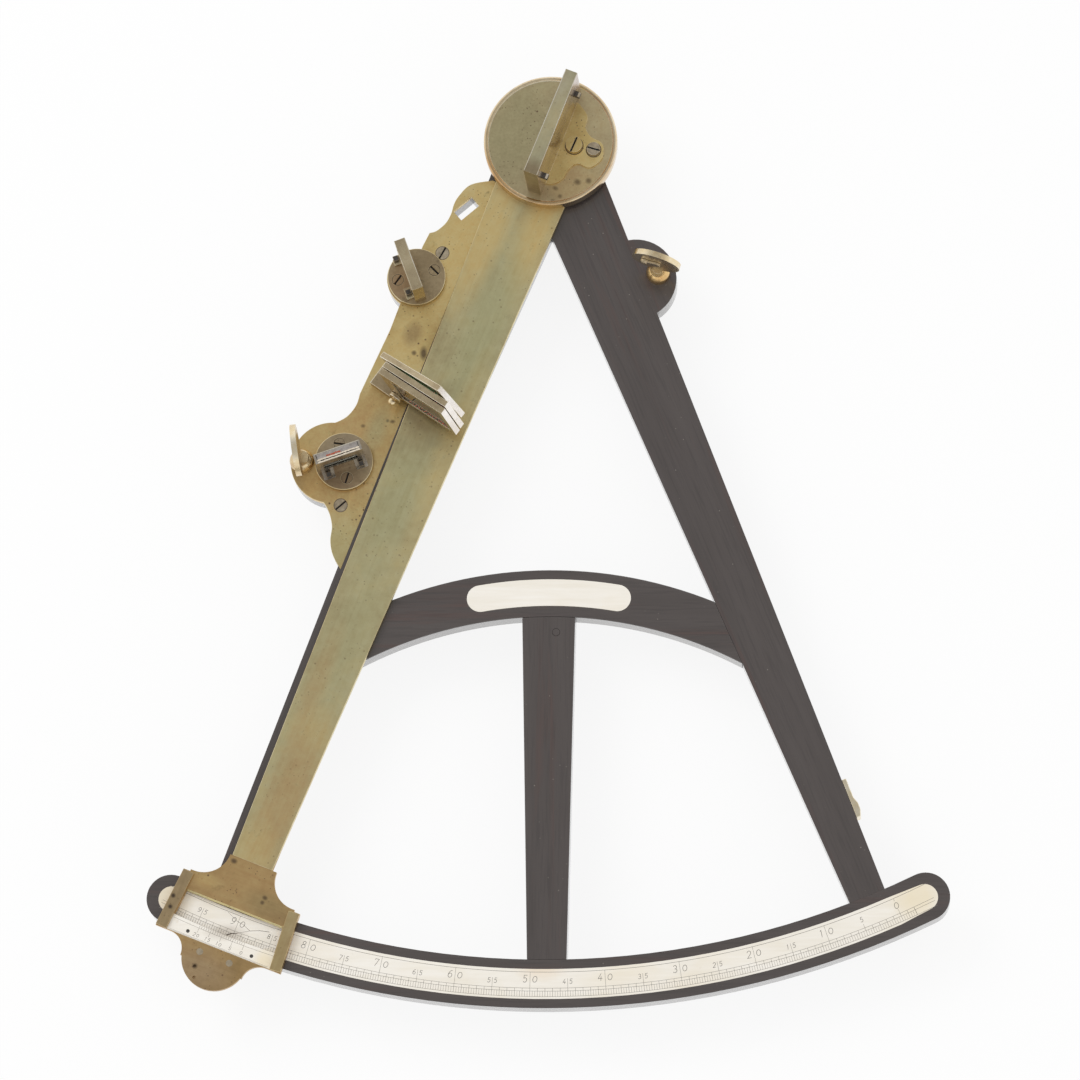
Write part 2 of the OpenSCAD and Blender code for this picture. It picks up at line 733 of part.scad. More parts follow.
module left_leg()
    color(ebony) {
        about_pivot() difference() {
            translate([0, 0, wood_z]) linear_extrude(wood_t) left_plan();
            translate([0, 0, mid_z]) linear_extrude(wood_t) right_plan();
            translate([0, 0, face_z - hplate_t]) linear_extrude(hplate_t + 1) rotate([0, 0, -leg_ang])
                horizon_plan();
            brace_tenons(wood_fit);
            pivot_hole();
            foot_holes();
            back_screw_holes(1.3);
            rotate([0, 0, -leg_ang]) {
                sockets(wood_z - 1, face_z + 1);
                spindle_holes(wood_z - 1, face_z + 1);
                lock_holes();
                plate_screw_places() translate([0, 0, face_z - plate_screw_len - 1])
                    cylinder(r = plate_shank_r + wood_fit, h = plate_screw_len + 1);
                translate([back_sight_at[0], back_sight_at[1], face_z - sight_shank_len])
                    cylinder(r = sight_shank_r, h = sight_shank_len + 1);
            }
        }
        in_left_leg() leg_tenon(0);
    }

module right_leg()
    color(ebony) {
        about_pivot() difference() {
            translate([0, 0, wood_z]) linear_extrude(wood_t) right_plan();
            translate([0, 0, mid_z - wood_t]) linear_extrude(wood_t) left_plan();
            brace_tenons(wood_fit);
            pivot_hole();
            foot_holes();
            rotate([0, 0, leg_ang]) translate([fore_sight_at[0], fore_sight_at[1], face_z - sight_shank_len])
                cylinder(r = sight_shank_r, h = sight_shank_len + 1);
        }
        in_right_leg() leg_tenon(0);
    }

// The bone's outline: a ring's part, whose ends narrow and are rounded
module inlay_plan() {
    mid = limb_mid_r + inlay_out;
    near = inlay_half - inlay_taper;
    intersection() {
        difference() {
            circle(r = mid + inlay_w / 2, $fn = ring_fn);
            circle(r = mid - inlay_w / 2, $fn = ring_fn);
        }
        polygon([[0, 0], [2 * mid * sin(near), -2 * mid * cos(near)],
            [-2 * mid * sin(near), -2 * mid * cos(near)]]);
    }
    for (side = [-1, 1]) hull() {
        translate([side * mid * sin(near), -mid * cos(near)]) circle(r = inlay_w / 2);
        translate([side * mid * sin(inlay_half), -mid * cos(inlay_half)]) circle(r = inlay_end_r);
    }
}

module arc_limb()
    color(ebony) about_pivot() difference() {
        translate([0, 0, wood_z]) round_band(limb_mid_r, limb_w, limb_half, wood_t);
        translate([0, 0, face_z - inlay_t]) linear_extrude(inlay_t + 1) inlay_plan();
        for (a = [-leg_ang, 0, leg_ang]) rotate([0, 0, a]) leg_tenon(wood_fit);
        foot_holes();
    }

module curved_brace()
    color(ebony) about_pivot() difference() {
        union() {
            translate([0, 0, wood_z]) linear_extrude(wood_t) difference() {
                intersection() {
                    brace_band(0);
                    between_centre_lines();
                    translate([-limb_in_r, -brace_drop - brace_w - 40]) square([2 * limb_in_r, brace_w + 40]);
                }
                rotate([0, 0, -leg_ang]) mirror([1, 0, 0]) leg_plan(leg_root_w / 2 + left_extra);
                rotate([0, 0, leg_ang]) leg_plan(leg_root_w / 2);
            }
            brace_tenons(0);
            strut_tongue(0);
        }
        translate([0, 0, face_z - plate_t]) name_band(1);
        peg_hole();
    }

module centre_strut()
    color(ebony) about_pivot() {
        difference() {
            translate([0, 0, wood_z]) linear_extrude(wood_t) intersection() {
                polygon([
                    [-strut_top_w / 2, -brace_drop], [strut_top_w / 2, -brace_drop],
                    [strut_low_w / 2, -limb_in_r], [-strut_low_w / 2, -limb_in_r]
                ]);
                circle(r = limb_in_r, $fn = ring_fn);
                translate([0, -brace_drop - brace_w - brace_low_r]) circle(r = brace_low_r, $fn = ring_fn);
            }
            strut_tongue(wood_fit);
            peg_hole();
        }
        leg_tenon(0);
    }

module peg_hole()
    translate([peg_x, -brace_drop - brace_w - peg_down, wood_z - 1]) cylinder(r = peg_r, h = wood_t + 2);

module strut_peg()
    color("#3d342f") about_pivot() translate([peg_x, -brace_drop - brace_w - peg_down, wood_z])
        cylinder(r = peg_r, h = wood_t);

module degree_scale()
    color(bone) about_pivot() translate([0, 0, face_z - inlay_t]) linear_extrude(inlay_t) inlay_plan();

module name_band(extra)
    translate([0, -brace_drop - brace_top_r, 0]) rotate([0, 0, 180])
    round_band(plate_r, plate_w, (plate_len - plate_w) / 2 / plate_r * 180 / PI, plate_t + extra);

module name_plate()
    color(bone) about_pivot() translate([0, 0, face_z - plate_t]) name_band(0);

module horizon_plate()
    color(brass) in_left_leg() difference() {
        translate([0, 0, face_z - hplate_t]) linear_extrude(hplate_t) horizon_plan();
        sockets(face_z - hplate_t - 1, face_z + 1);
        spindle_holes(face_z - hplate_t - 1, face_z + 1);
        plate_screw_places() translate([0, 0, face_z - plate_head_t])
            cylinder(r = plate_screw_r, h = plate_head_t + 1);
        plate_screw_places() translate([0, 0, face_z - hplate_t - 1])
            cylinder(r = plate_shank_r + wood_fit, h = hplate_t);
        translate([back_sight_at[0], back_sight_at[1], face_z - hplate_t - 1])
            cylinder(r = sight_shank_r, h = hplate_t + 2);
    }

module plate_screws()
    color(steel) in_left_leg() translate([0, 0, face_z - plate_head_t]) {
        translate(fore_screw_at)
            screw(plate_screw_r, plate_head_t, plate_shank_r, plate_screw_len - plate_head_t,
                fore_plate_slot);
        translate(back_screw_at)
            screw(plate_screw_r, plate_head_t, plate_shank_r, plate_screw_len - plate_head_t,
                back_plate_slot);
    }

module pivot_bush()
    color(dull_brass) about_pivot() difference() {
        union() {
            translate([0, 0, wood_z]) cylinder(r = bush_r, h = wood_t + step);
            translate([0, 0, face_z]) cylinder(r = bush_flange_r, h = bush_flange_t);
        }
        translate([0, 0, wood_z - 1]) cylinder(r = shaft_r + shaft_fit, h = wood_t + 3);
    }

module back_plate()
    color(brass) about_pivot() difference() {
        translate([0, 0, plate_under]) cylinder(r = back_plate_r, h = back_plate_t, $fn = 72);
        translate([0, 0, plate_under - 1]) cylinder(r = shaft_r + shaft_fit + 0.3, h = back_plate_t + 2);
        back_screw_holes(1.3);
    }

module back_plate_screws()
    color(steel) about_pivot() back_screw_places() translate([0, 0, plate_under]) rotate([180, 0, 0])
        screw(2.6, 1.2, 1.3, back_plate_t + 5);

module frame_feet()
    color(brass) about_pivot() foot_places() {
        translate([0, 0, wood_z - 2]) cylinder(r = foot_r, h = 2);
        cylinder(r = foot_stem_r, h = wood_z);
        cylinder(r = foot_stem_r + 1.5, h = 3);
        cylinder(r = foot_shank_r, h = wood_z + foot_shank_len);
    }

module edge_clip()
    color(brass) in_right_leg() translate([clip_edge, -clip_down, face_z - clip_h])
        rotate([0, 0, -clip_tilt]) {
        bar(0, clip_t, -clip_len / 2, clip_len / 2, 0, clip_h);
        linear_extrude(clip_h) polygon([
            [0, -clip_len / 2], [clip_t, -clip_len / 2], [clip_t + 1, -clip_len / 3],
                [clip_t + 1, -clip_len / 6], [clip_t, 0], [0, 0]
        ]);
    }

module sight_foot() {
    difference() {
        union() {
            cylinder(r = sight_foot_r, h = 1.5);
            translate([0, 0, 1.5]) intersection() {
                sphere(r = sight_foot_r, $fn = 48);
                cylinder(r = sight_foot_r + 1, h = sight_foot_r - 1);
            }
            translate([0, 0, -sight_shank_len]) cylinder(r = sight_shank_r, h = sight_shank_len + 1);
        }
        translate([0, 0, -sight_shank_len + 1]) cylinder(r = spigot_r + spindle_fit, h =
            sight_shank_len + sight_foot_r + 2);
    }
}

module fore_sight_foot() color(brass) in_right_leg() translate([fore_sight_at[0], fore_sight_at[1],
    face_z]) sight_foot();

module back_sight_foot() color(brass) in_left_leg() translate([back_sight_at[0], back_sight_at[1],
    face_z]) sight_foot();

// Index arm pieces

module index_arm()
    color(dull_brass) on_arm() difference() {
        union() {
            translate([0, 0, arm_z]) linear_extrude(arm_t) polygon([
                [-arm_root_w / 2, 3], [arm_root_w / 2, 3], [arm_end_w / 2, -arm_len],
                    [-arm_end_w / 2, -arm_len]
            ]);
            translate([0, 0, arm_z]) cylinder(r = arm_root_w / 2 + 2, h = arm_t);
        }
        translate([0, 0, arm_z - 1]) cylinder(r = shaft_r, h = arm_t + 2);
        bar(-arm_end_w, arm_end_w, -arm_len - 1, -arm_len + lap_len, arm_z - 1, arm_z + arm_t / 2);
    }

module index_disc()
    color(dull_brass) on_arm() difference() {
        union() {
            translate([0, 0, arm_top]) cylinder(r = disc_r - rim_w / 2, h = disc_t - rim_h, $fn = 96);
            translate([0, 0, arm_top]) cylinder(r = disc_r, h = disc_t - rim_w / 2, $fn = 96);
            translate([0, 0, disc_top - rim_w / 2]) rotate_extrude($fn = 96)
                translate([disc_r - rim_w / 2, 0]) circle(r = rim_w / 2, $fn = 24);
        }
        translate([0, 0, arm_top - 1]) cylinder(r = shaft_r, h = 2);
        for (p = mirror_screw_at) translate([p[0], p[1], disc_flat - 2.5]) cylinder(r = p[2], h = disc_t);
    }

// Half width of the end plate at a distance down the arm, less a strip along its radial side
function side_x(y, strip) = -y * tan(end_half) - strip / cos(end_half);

module wedge(strip, y0, y1)
    polygon([[-side_x(y0, strip), y0], [side_x(y0, strip), y0], [side_x(y1, strip), y1],
        [-side_x(y1, strip), y1]]);

module end_plan() {
    difference() {
        bar2(-neck_w / 2 - shoulder_r - 1.2, neck_w / 2 + shoulder_r + 1.2, -end_top - 1, -arm_len);
        for (s = [-1, 1]) translate([s * (neck_w / 2 + shoulder_r), shoulder_y])
            circle(r = shoulder_r, $fn = 72);
        bar2(-neck_w - shoulder_r, -neck_w / 2, shoulder_y, 0);
        bar2(neck_w / 2, neck_w + shoulder_r, shoulder_y, 0);
    }
    wedge(0, -end_bottom, -end_top);
    difference() {
        bar2(-lobe_r - hollow_r, lobe_r + hollow_r, -end_bottom - hollow_r, -end_bottom + 1);
        for (s = [-1, 1]) translate([s * (lobe_r + hollow_r), -end_bottom - hollow_r]) circle(r = hollow_r);
    }
    translate([0, lobe_y]) circle(r = lobe_r, $fn = 72);
}

module bar2(x0, x1, y0, y1) translate([x0, y0]) square([x1 - x0, y1 - y0]);

module vernier_plan()
    difference() {
        wedge(rail_w, -end_bottom + 0.2, -vernier_r + 3);
        translate([-end_shift, 0]) circle(r = vernier_r, $fn = ring_fn);
    }

module end_plate()
    color(brass) on_arm() translate([end_shift, 0, 0]) difference() {
        union() {
            translate([0, 0, arm_z]) linear_extrude(arm_t) end_plan();
            bar(-neck_w / 2 + 2, neck_w / 2 - 2, -arm_len - step, -arm_len + lap_len, arm_z,
                arm_z + arm_t / 2);
        }
        translate([0, 0, arm_z - 1]) linear_extrude(arm_t + 2)
            wedge(rail_w + window_lip, -vernier_r - ledge_out, -scale_r + window_up);
        translate([0, 0, arm_z + ledge_t]) linear_extrude(arm_t) vernier_plan();
        for (x = vernier_pin_x) translate([x, vernier_pin_y, arm_z - 1]) cylinder(r = vernier_pin_r, h = 3);
        for (x = clamp_screw_x) translate([x, clamp_screw_y, arm_z - 1])
            cylinder(r = clamp_rivet_r, h = arm_t + 2);
        for (p = lobe_pin_at) translate([p[0], p[1], arm_top - 1.5]) cylinder(r = 0.7, h = 3);
    }

module end_rails()
    color(dull_brass) on_arm() translate([end_shift, 0, arm_top]) for (s = [-1, 1])
        rotate([0, 0, s * end_half])
        translate([-s * rail_w / 2, 0, 0]) bar(-rail_w / 2, rail_w / 2, -end_bottom - 0.7,
            -end_top - 1.2, 0, rail_t);

module vernier_scale()
    color(bone) on_arm() translate([end_shift, 0, 0]) difference() {
        translate([0, 0, arm_z + ledge_t]) linear_extrude(arm_t - ledge_t) vernier_plan();
        for (x = vernier_pin_x) translate([x, vernier_pin_y, arm_z])
            cylinder(r = vernier_pin_r, h = arm_t + 1);
    }

module vernier_pins()
    color(steel) on_arm() translate([end_shift, 0, 0]) for (x = vernier_pin_x)
        translate([x, vernier_pin_y, arm_z]) cylinder(r = vernier_pin_r, h = arm_t);

module mirror_pocket(gap)
    bar(mirror_x0 + mirror_lip + gap, mirror_x0 + mirror_lip + mirror_glass_t - gap,
        mirror_y0 + pocket_in + gap, mirror_y1 - pocket_in - gap,
        disc_flat + pocket_in + gap, disc_flat + mirror_h - pocket_in - gap);

// Thickness of the frame changes evenly from its lower to its upper end
function mirror_back(y) = mirror_x0 + mirror_t + (mirror_low_t - mirror_t) * (mirror_y1 - y) / mirror_len;

module mirror_frame()
    color(brass) on_arm() difference() {
        union() {
            translate([0, 0, disc_flat]) linear_extrude(mirror_h) polygon([
                [mirror_x0, mirror_y0], [mirror_back(mirror_y0), mirror_y0],
                    [mirror_back(mirror_y1), mirror_y1], [mirror_x0, mirror_y1]
            ]);
            translate([0, 0, disc_flat]) linear_extrude(bracket_t) bracket_plan();
        }
        mirror_pocket(0);
        bar(mirror_x0 - 1, mirror_x0 + mirror_lip + 1, mirror_y0 + mirror_rim, mirror_y1 - mirror_rim,
            disc_flat + mirror_rim, disc_flat + mirror_h - mirror_rim);
        for (p = mirror_screw_at) translate([p[0], p[1], disc_flat - 1])
            cylinder(r = p[2], h = bracket_t + 2);
        adjuster_places() rotate([0, 90, 0]) translate([0, 0, -3]) cylinder(r = adjuster_r, h = 5);
    }

module bracket_plan()
    polygon(concat(smooth([for (q = bracket_curve) [max(q[0], mirror_x1), q[1]]], 5), [
        [mirror_x1 - 1, bracket_curve[len(bracket_curve) - 1][1]], [mirror_x1 - 1, bracket_curve[0][1]]
    ]));

module adjuster_places()
    for (s = [-1, 1]) translate([mirror_back(s * adjuster_out), s * adjuster_out, adjuster_z]) children();

module index_mirror() color(glass_clear) on_arm() mirror_pocket(0.05);

module mirror_screws()
    color(steel) on_arm() {
        translate([mirror_screw_at[0][0], mirror_screw_at[0][1], disc_flat + bracket_t])
            screw(big_screw_r, 3, mirror_screw_at[0][2], bracket_t + 2.5, 88);
        translate([mirror_screw_at[1][0], mirror_screw_at[1][1], disc_flat + bracket_t])
            screw(small_screw_r, 2.2, mirror_screw_at[1][2], bracket_t + 2.5, 5);
    }

// Square-headed screws through the frame's back, behind the glass
module mirror_adjusters()
    color(steel) on_arm() adjuster_places() {
        bar(0.05, square_w + 0.05, -square_w / 2, square_w / 2, -square_w / 2, square_w / 2);
        rotate([0, 90, 0]) translate([0, 0, -1]) cylinder(r = adjuster_r, h = 1.5);
    }

module pivot_shaft()
    color(steel) about_pivot() difference() {
        translate([0, 0, shaft_low]) cylinder(r = shaft_r, h = arm_top + 1 - shaft_low);
        translate([0, 0, shaft_low - 1]) cylinder(r = 2, h = tap_len + 1);
    }

module pivot_washer()
    color(brass) about_pivot() difference() {
        translate([0, 0, shaft_low]) cylinder(r = washer_r, h = washer_t);
        translate([0, 0, shaft_low - 1]) cylinder(r = shaft_r, h = washer_t + 2);
    }

module pivot_screw()
    color(steel) about_pivot() translate([0, 0, shaft_low]) rotate([180, 0, 0])
        screw(pivot_screw_r, 2.5, 2, tap_len);

module clamp_bracket()
    color(brass) on_arm() translate([end_shift, 0, 0]) difference() {
        union() {
            bar(-clamp_w / 2 - clamp_shift, clamp_w / 2 - clamp_shift, clamp_y0, clamp_y1, clamp_foot_z,
                arm_z);
            bar(-clamp_boss_w / 2, clamp_boss_w / 2, clamp_y0, clamp_y1, arm_z - clamp_boss_h, arm_z);
            bar(-clamp_w / 2 - clamp_shift, clamp_w / 2 - clamp_shift, clamp_y0, clamp_screw_down + 7,
                clamp_foot_z, clamp_foot_z + clamp_foot_t);
        }
        for (x = clamp_screw_x) translate([x, clamp_screw_y, arm_z - clamp_boss_h])
            cylinder(r = clamp_rivet_r, h = clamp_boss_h + 1);
        translate([0, clamp_screw_down, clamp_foot_z - 1]) cylinder(r = clamp_screw_r + spindle_fit, h =
            clamp_foot_t + 2);
        bar(-spring_w / 2 - spring_side, spring_w / 2 - spring_side, clamp_y1 - 3, clamp_y1 + 1,
            spring_z, spring_z + spring_t);
    }

module clamp_bracket_screws()
    color(steel) on_arm() translate([end_shift, 0, 0]) for (x = clamp_screw_x)
        translate([x, clamp_screw_y, arm_z - clamp_boss_h + 1])
            cylinder(r = clamp_rivet_r, h = arm_t + clamp_boss_h - 1);

module clamp_spring()
    color(steel) on_arm() translate([end_shift, 0, 0])
        bar(-spring_w / 2 - spring_side, spring_w / 2 - spring_side, clamp_y1 - 3, clamp_screw_down + 6,
            spring_z, spring_z + spring_t);

module clamp_screw()
    color(brass) on_arm() translate([end_shift, clamp_screw_down, 0]) {
        translate([0, 0, clamp_foot_z - 1.5 - clamp_head_t]) knurled(clamp_head_r, clamp_head_t, 24);
        translate([0, 0, clamp_foot_z - 2]) cylinder(r = clamp_screw_r, h =
            spring_z - 0.3 - clamp_foot_z + 2);
    }

// Horizon glasses

// Round base with its spindle; seats is the list of its screws' places and their slots' turns
module glass_base(seats) {
    difference() {
        union() {
            translate([0, 0, base_z]) cylinder(r = base_r, h = base_t, $fn = 72);
            translate([0, 0, lever_low]) cylinder(r = spindle_r, h = base_z + 1 - lever_low);
        }
        for (p = seats) translate([p[0], p[1], holder_z - base_screw_deep]) cylinder(r = base_screw_r, h = 2);
        for (p = seats) translate([p[0], p[1], base_z + 0.6]) cylinder(r = base_shank_r, h = base_t);
        translate([0, 0, lever_low - 1]) cylinder(r = 1.5, h = tap_len - 1);
    }
}

module base_screws(seats, adjusters) {
    for (p = seats) translate([p[0], p[1], holder_z - base_screw_deep])
        screw(base_screw_r, base_screw_deep, base_shank_r, base_t - base_screw_deep - 0.6, p[2]);
    for (p = adjusters) translate([p[0], p[1], holder_z + tab_t])
        bar(-square_w / 2, square_w / 2, -square_w / 2, square_w / 2, 0, 2.2);
}

// Small tabs at a holder's foot, one under each square adjusting screw
module holder_tabs(adjusters, x1)
    for (p = adjusters) intersection() {
        bar(x1 - tab_len, x1 + step, p[1] - tab_w / 2, p[1] + tab_w / 2, holder_z, holder_z + tab_t);
        translate([0, 0, holder_z]) cylinder(r = base_r, h = tab_t, $fn = 72);
    }

// Lever under the frame, running down along the leg
module lever() rotate([0, 0, lever_ang]) difference() {
    union() {
        translate([0, 0, lever_low]) cylinder(r = lever_hub_r, h = lever_t);
        translate([0, 0, lever_low]) linear_extrude(lever_t) polygon([
            [-lever_hub_r, 0], [lever_hub_r, 0], [lock_r + 4.5, -lever_len], [-lock_r - 4.5, -lever_len]
        ]);
        translate([0, 0, lever_low]) round_band(lever_len, 2 * lock_r + 6, lever_swing + 5, lever_t);
    }
    translate([0, 0, lever_low - 1]) cylinder(r = spindle_r, h = lever_t + 2);
    translate([0, 0, lever_low - 1]) round_band(lever_len, 2 * lock_r + slot_play, lever_swing + 0.6,
        lever_t + 2);
}

module lever_screw() translate([0, 0, lever_low]) rotate([180, 0, 0]) screw(5.2, 1.8, 1.5, 6);

module lock_screw(p)
    translate([p[0] + lever_len * lever_dir[0], p[1] + lever_len * lever_dir[1], 0]) {
        translate([0, 0, lever_low - 0.3 - 4]) knurled(lock_head_r, 4, 20);
        translate([0, 0, lever_low - 1]) cylinder(r = lock_r, h = wood_z + lock_deep - lever_low + 1);
    }

module fore_pane(gap)
    bar(fore_pane_x0 + gap, fore_pane_x1 - gap, fore_y0 + 1 + gap, fore_y1 - 1 - gap,
        holder_z + 1 + gap, holder_z + holder_h - 1 - gap);

module fore_glass_base() color(dull_brass) on_fore_glass() glass_base(fore_seats);

module fore_glass_holder()
    color(brass) on_fore_glass() difference() {
        union() {
            bar(fore_x0, fore_x1, fore_y0, fore_y1, holder_z, holder_z + holder_h);
            holder_tabs(fore_adjusters, fore_x0);
        }
        fore_pane(0);
        bar(fore_pane_x1 - 1, fore_x1 + 1, fore_y0 + 2, fore_y1 - 2, holder_z + 2, holder_z + holder_h - 2);
        bar(fore_x0 - 1, fore_pane_x0 + 1, fore_y0 + 2, fore_y1 - 2, holder_z + holder_h / 2,
            holder_z + holder_h - 2);
    }

module fore_glass() color(glass_clear) on_fore_glass() fore_pane(0.05);

module fore_glass_screws() color(steel) on_fore_glass() base_screws(fore_seats, fore_adjusters);

module fore_lever() color(brass) in_left_leg() translate(fore_at) lever();

module fore_lever_screw() color(steel) in_left_leg() translate(fore_at) lever_screw();

module fore_lock_screw() color(brass) in_left_leg() lock_screw(fore_at);

module back_pane(gap)
    bar(back_pane_x0 + gap, back_pane_x1 - gap, back_y0 + 1 + gap, back_y1 - 1 - gap,
        holder_z + 1 + gap, holder_z + holder_h - gap / 2);

module back_glass_base() color(dull_brass) on_back_glass() glass_base(back_seats);

module back_glass_holder()
    color(dull_brass) on_back_glass() difference() {
        union() {
            bar(back_x0, back_x1, back_y0, back_y1, holder_z, holder_z + holder_h);
            holder_tabs(back_adjusters, back_x0);
        }
        bar(back_pane_x0, back_pane_x1, back_y0 + 1, back_y1 - 1, holder_z + 1, holder_z + holder_h + 1);
        bar(back_x0 + 0.7, back_x0 + 1.2, back_y0 + 2.5, back_y1 - 2.5, holder_z + 2,
            holder_z + holder_h + 1);
        bar(back_pane_x1 - 1, back_x1 + 1, back_y0 + 3, back_y1 - 3, holder_z + 8, holder_z + 16);
        bar(back_x0 - 1, back_pane_x0 + 1, back_y0 + 3, back_y1 - 3, holder_z + 8, holder_z + 16);
    }

module back_glass() color(glass_clear) on_back_glass() back_pane(0.05);

module back_glass_screws() color(steel) on_back_glass() base_screws(back_seats, back_adjusters);

module back_lever() color(brass) in_left_leg() translate(back_at) lever();

module back_lever_screw() color(steel) in_left_leg() translate(back_at) lever_screw();

module back_lock_screw() color(brass) in_left_leg() lock_screw(back_at);

// Shades: the pin lies along the local Y axis, with the first shade at the +Y end

module rod(r, y0, y1) translate([0, y0, 0]) rotate([-90, 0, 0]) cylinder(r = r, h = y1 - y0);

module shade_block()
    color(brass) on_shades() {
        bar(-0.3 - block_len, -0.3, -cheek_out, cheek_out, rest_gap, block_h);
        for (s = [-1, 1]) difference() {
            translate([0, s * (cheek_in + cheek_out) / 2, 0]) union() {
                translate([0, 0, shade_pin_z]) rod(cheek_w / 2, -cheek_t / 2, cheek_t / 2);
                bar(-cheek_w / 2, -0.3, -cheek_t / 2, cheek_t / 2, block_h - 0.5, shade_pin_z);
            }
            translate([0, 0, shade_pin_z]) rod(shade_pin_r, -cheek_out - 1, cheek_out + 1);
        }
        translate([-tenon_back, 0, 0]) rotate([0, 0, 90])
            bar(-socket_len / 2 + socket_fit, socket_len / 2 - socket_fit, -socket_w / 2 + socket_fit,
                socket_w / 2 - socket_fit, -socket_deep, 1);
    }

module shade_pin()
    color(brass) on_shades() translate([0, 0, shade_pin_z]) {
        rod(shade_pin_r, -cheek_out - 1, cheek_out + 0.6);
        translate([0, -cheek_out - 1.8, 0]) sphere(r = 1.8, $fn = 32);
    }

module on_shade(i)
    on_shades() translate([0, (1 - i) * shade_pitch, shade_pin_z]) rotate([0, -shade_turns[i], 0]) children();

module shade_pane(gap)
    bar(win_x0 - glass_lap + gap, win_x1 + glass_lap - gap, -shade_glass_t / 2 + gap, shade_glass_t / 2 - gap,
        win_z0 - glass_lap + gap, win_z1 + glass_lap - gap);

module shade_frame(i)
    color(dull_brass) on_shade(i) difference() {
        translate([0, shade_t / 2, 0]) rotate([90, 0, 0]) linear_extrude(shade_t) {
            translate([-shade_corner, 0]) square([shade_w, shade_h - shade_corner]);
            translate([0, -shade_corner]) square([shade_w - shade_corner, shade_h]);
            circle(r = shade_corner);
        }
        rod(shade_pin_r + shaft_fit, -shade_t, shade_t);
        shade_pane(0);
        bar(win_x0, win_x1, -shade_t, shade_t, win_z0, win_z1);
    }

module shade_glass(i, tint) color(tint) on_shade(i) shade_pane(0.05);

// Sights: the vane's plane lies along the local Y axis, facing along X

module vane_stem(x0, x1) {
    bar(x0, x1, -2.6, 2.6, dome_top + 1.2, stem_top);
    translate([0, 0, dome_top + 0.1]) cylinder(r = spigot_r + 1.2, h = 1.4);
    translate([0, 0, -sight_shank_len + 2]) cylinder(r = spigot_r, h = dome_top + sight_shank_len);
}

module vane_disc(r) translate([0, 0, vane_z]) rotate([0, 90, 0]) translate([0, 0, -vane_t / 2])
    cylinder(r = r, h = vane_t, $fn = 72);

module peep(y, z) translate([-vane_t, y, z]) rotate([0, 90, 0])
    cylinder(r = peep_r, h = 2 * vane_t, $fn = 16);

module fore_sight_vane()
    color(brass) on_fore_sight() difference() {
        union() {
            vane_disc(fore_vane_r);
            vane_stem(-vane_t / 2, vane_t / 2);
        }
        peep(0, vane_z - peep_apart / 2);
        peep(0, vane_z + peep_apart / 2);
        translate([-vane_t, shutter_at[1], shutter_at[2]]) rotate([0, 90, 0])
            cylinder(r = 0.7 + shaft_fit, h = 2 * vane_t);
    }

module fore_sight_shutter()
    color(steel) on_fore_sight() translate([-vane_t / 2 - 0.1 - shutter_t, shutter_at[1], shutter_at[2]])
        rotate([0, 90, 0]) {
        cylinder(r = 1.8, h = shutter_t);
        translate([0, -shutter_at[1], 0]) cylinder(r = 2.2, h = shutter_t);
        bar(-1.3, 1.3, -shutter_at[1], 0, 0, shutter_t);
        translate([0, 0, -0.6]) cylinder(r = 1.3, h = 0.7);
        cylinder(r = 0.7, h = shutter_t + vane_t + 0.1);
    }

module back_sight_vane()
    color(brass) on_back_sight() difference() {
        union() {
            translate([-back_vane_shift, 0, 0]) vane_disc(back_vane_r);
            vane_stem(-back_vane_shift - vane_t / 2, -back_vane_shift + vane_t / 2);
            bar(-back_vane_shift - vane_t / 2, spigot_r, -2.6, 2.6, dome_top + 0.6, dome_top + 2.6);
        }
        translate([-back_vane_shift, 0, 0]) peep(0, vane_z);
    }

left_leg();
right_leg();
arc_limb();
curved_brace();
centre_strut();
strut_peg();
degree_scale();
name_plate();
horizon_plate();
plate_screws();
pivot_bush();
back_plate();
back_plate_screws();
frame_feet();
edge_clip();
fore_sight_foot();
back_sight_foot();
index_arm();
index_disc();
end_plate();
end_rails();
vernier_scale();
vernier_pins();
mirror_frame();
index_mirror();
mirror_screws();
mirror_adjusters();
pivot_shaft();
pivot_washer();
pivot_screw();
clamp_bracket();
clamp_bracket_screws();
clamp_spring();
clamp_screw();
fore_glass_base();
fore_glass_holder();
fore_glass();
fore_glass_screws();
fore_lever();
fore_lever_screw();
fore_lock_screw();
back_glass_base();
back_glass_holder();
back_glass();
back_glass_screws();
back_lever();
back_lever_screw();
back_lock_screw();
shade_block();
shade_pin();
shade_frame(0);  // shade_frame_1
shade_frame(1);  // shade_frame_2
shade_frame(2);  // shade_frame_3
shade_glass(0, glass_green);  // shade_glass_1
shade_glass(1, glass_red);  // shade_glass_2
shade_glass(2, glass_red);  // shade_glass_3
fore_sight_vane();
fore_sight_shutter();
back_sight_vane();
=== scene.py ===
import json
import math
import random

import bmesh
import bpy
from mathutils import Matrix, Vector


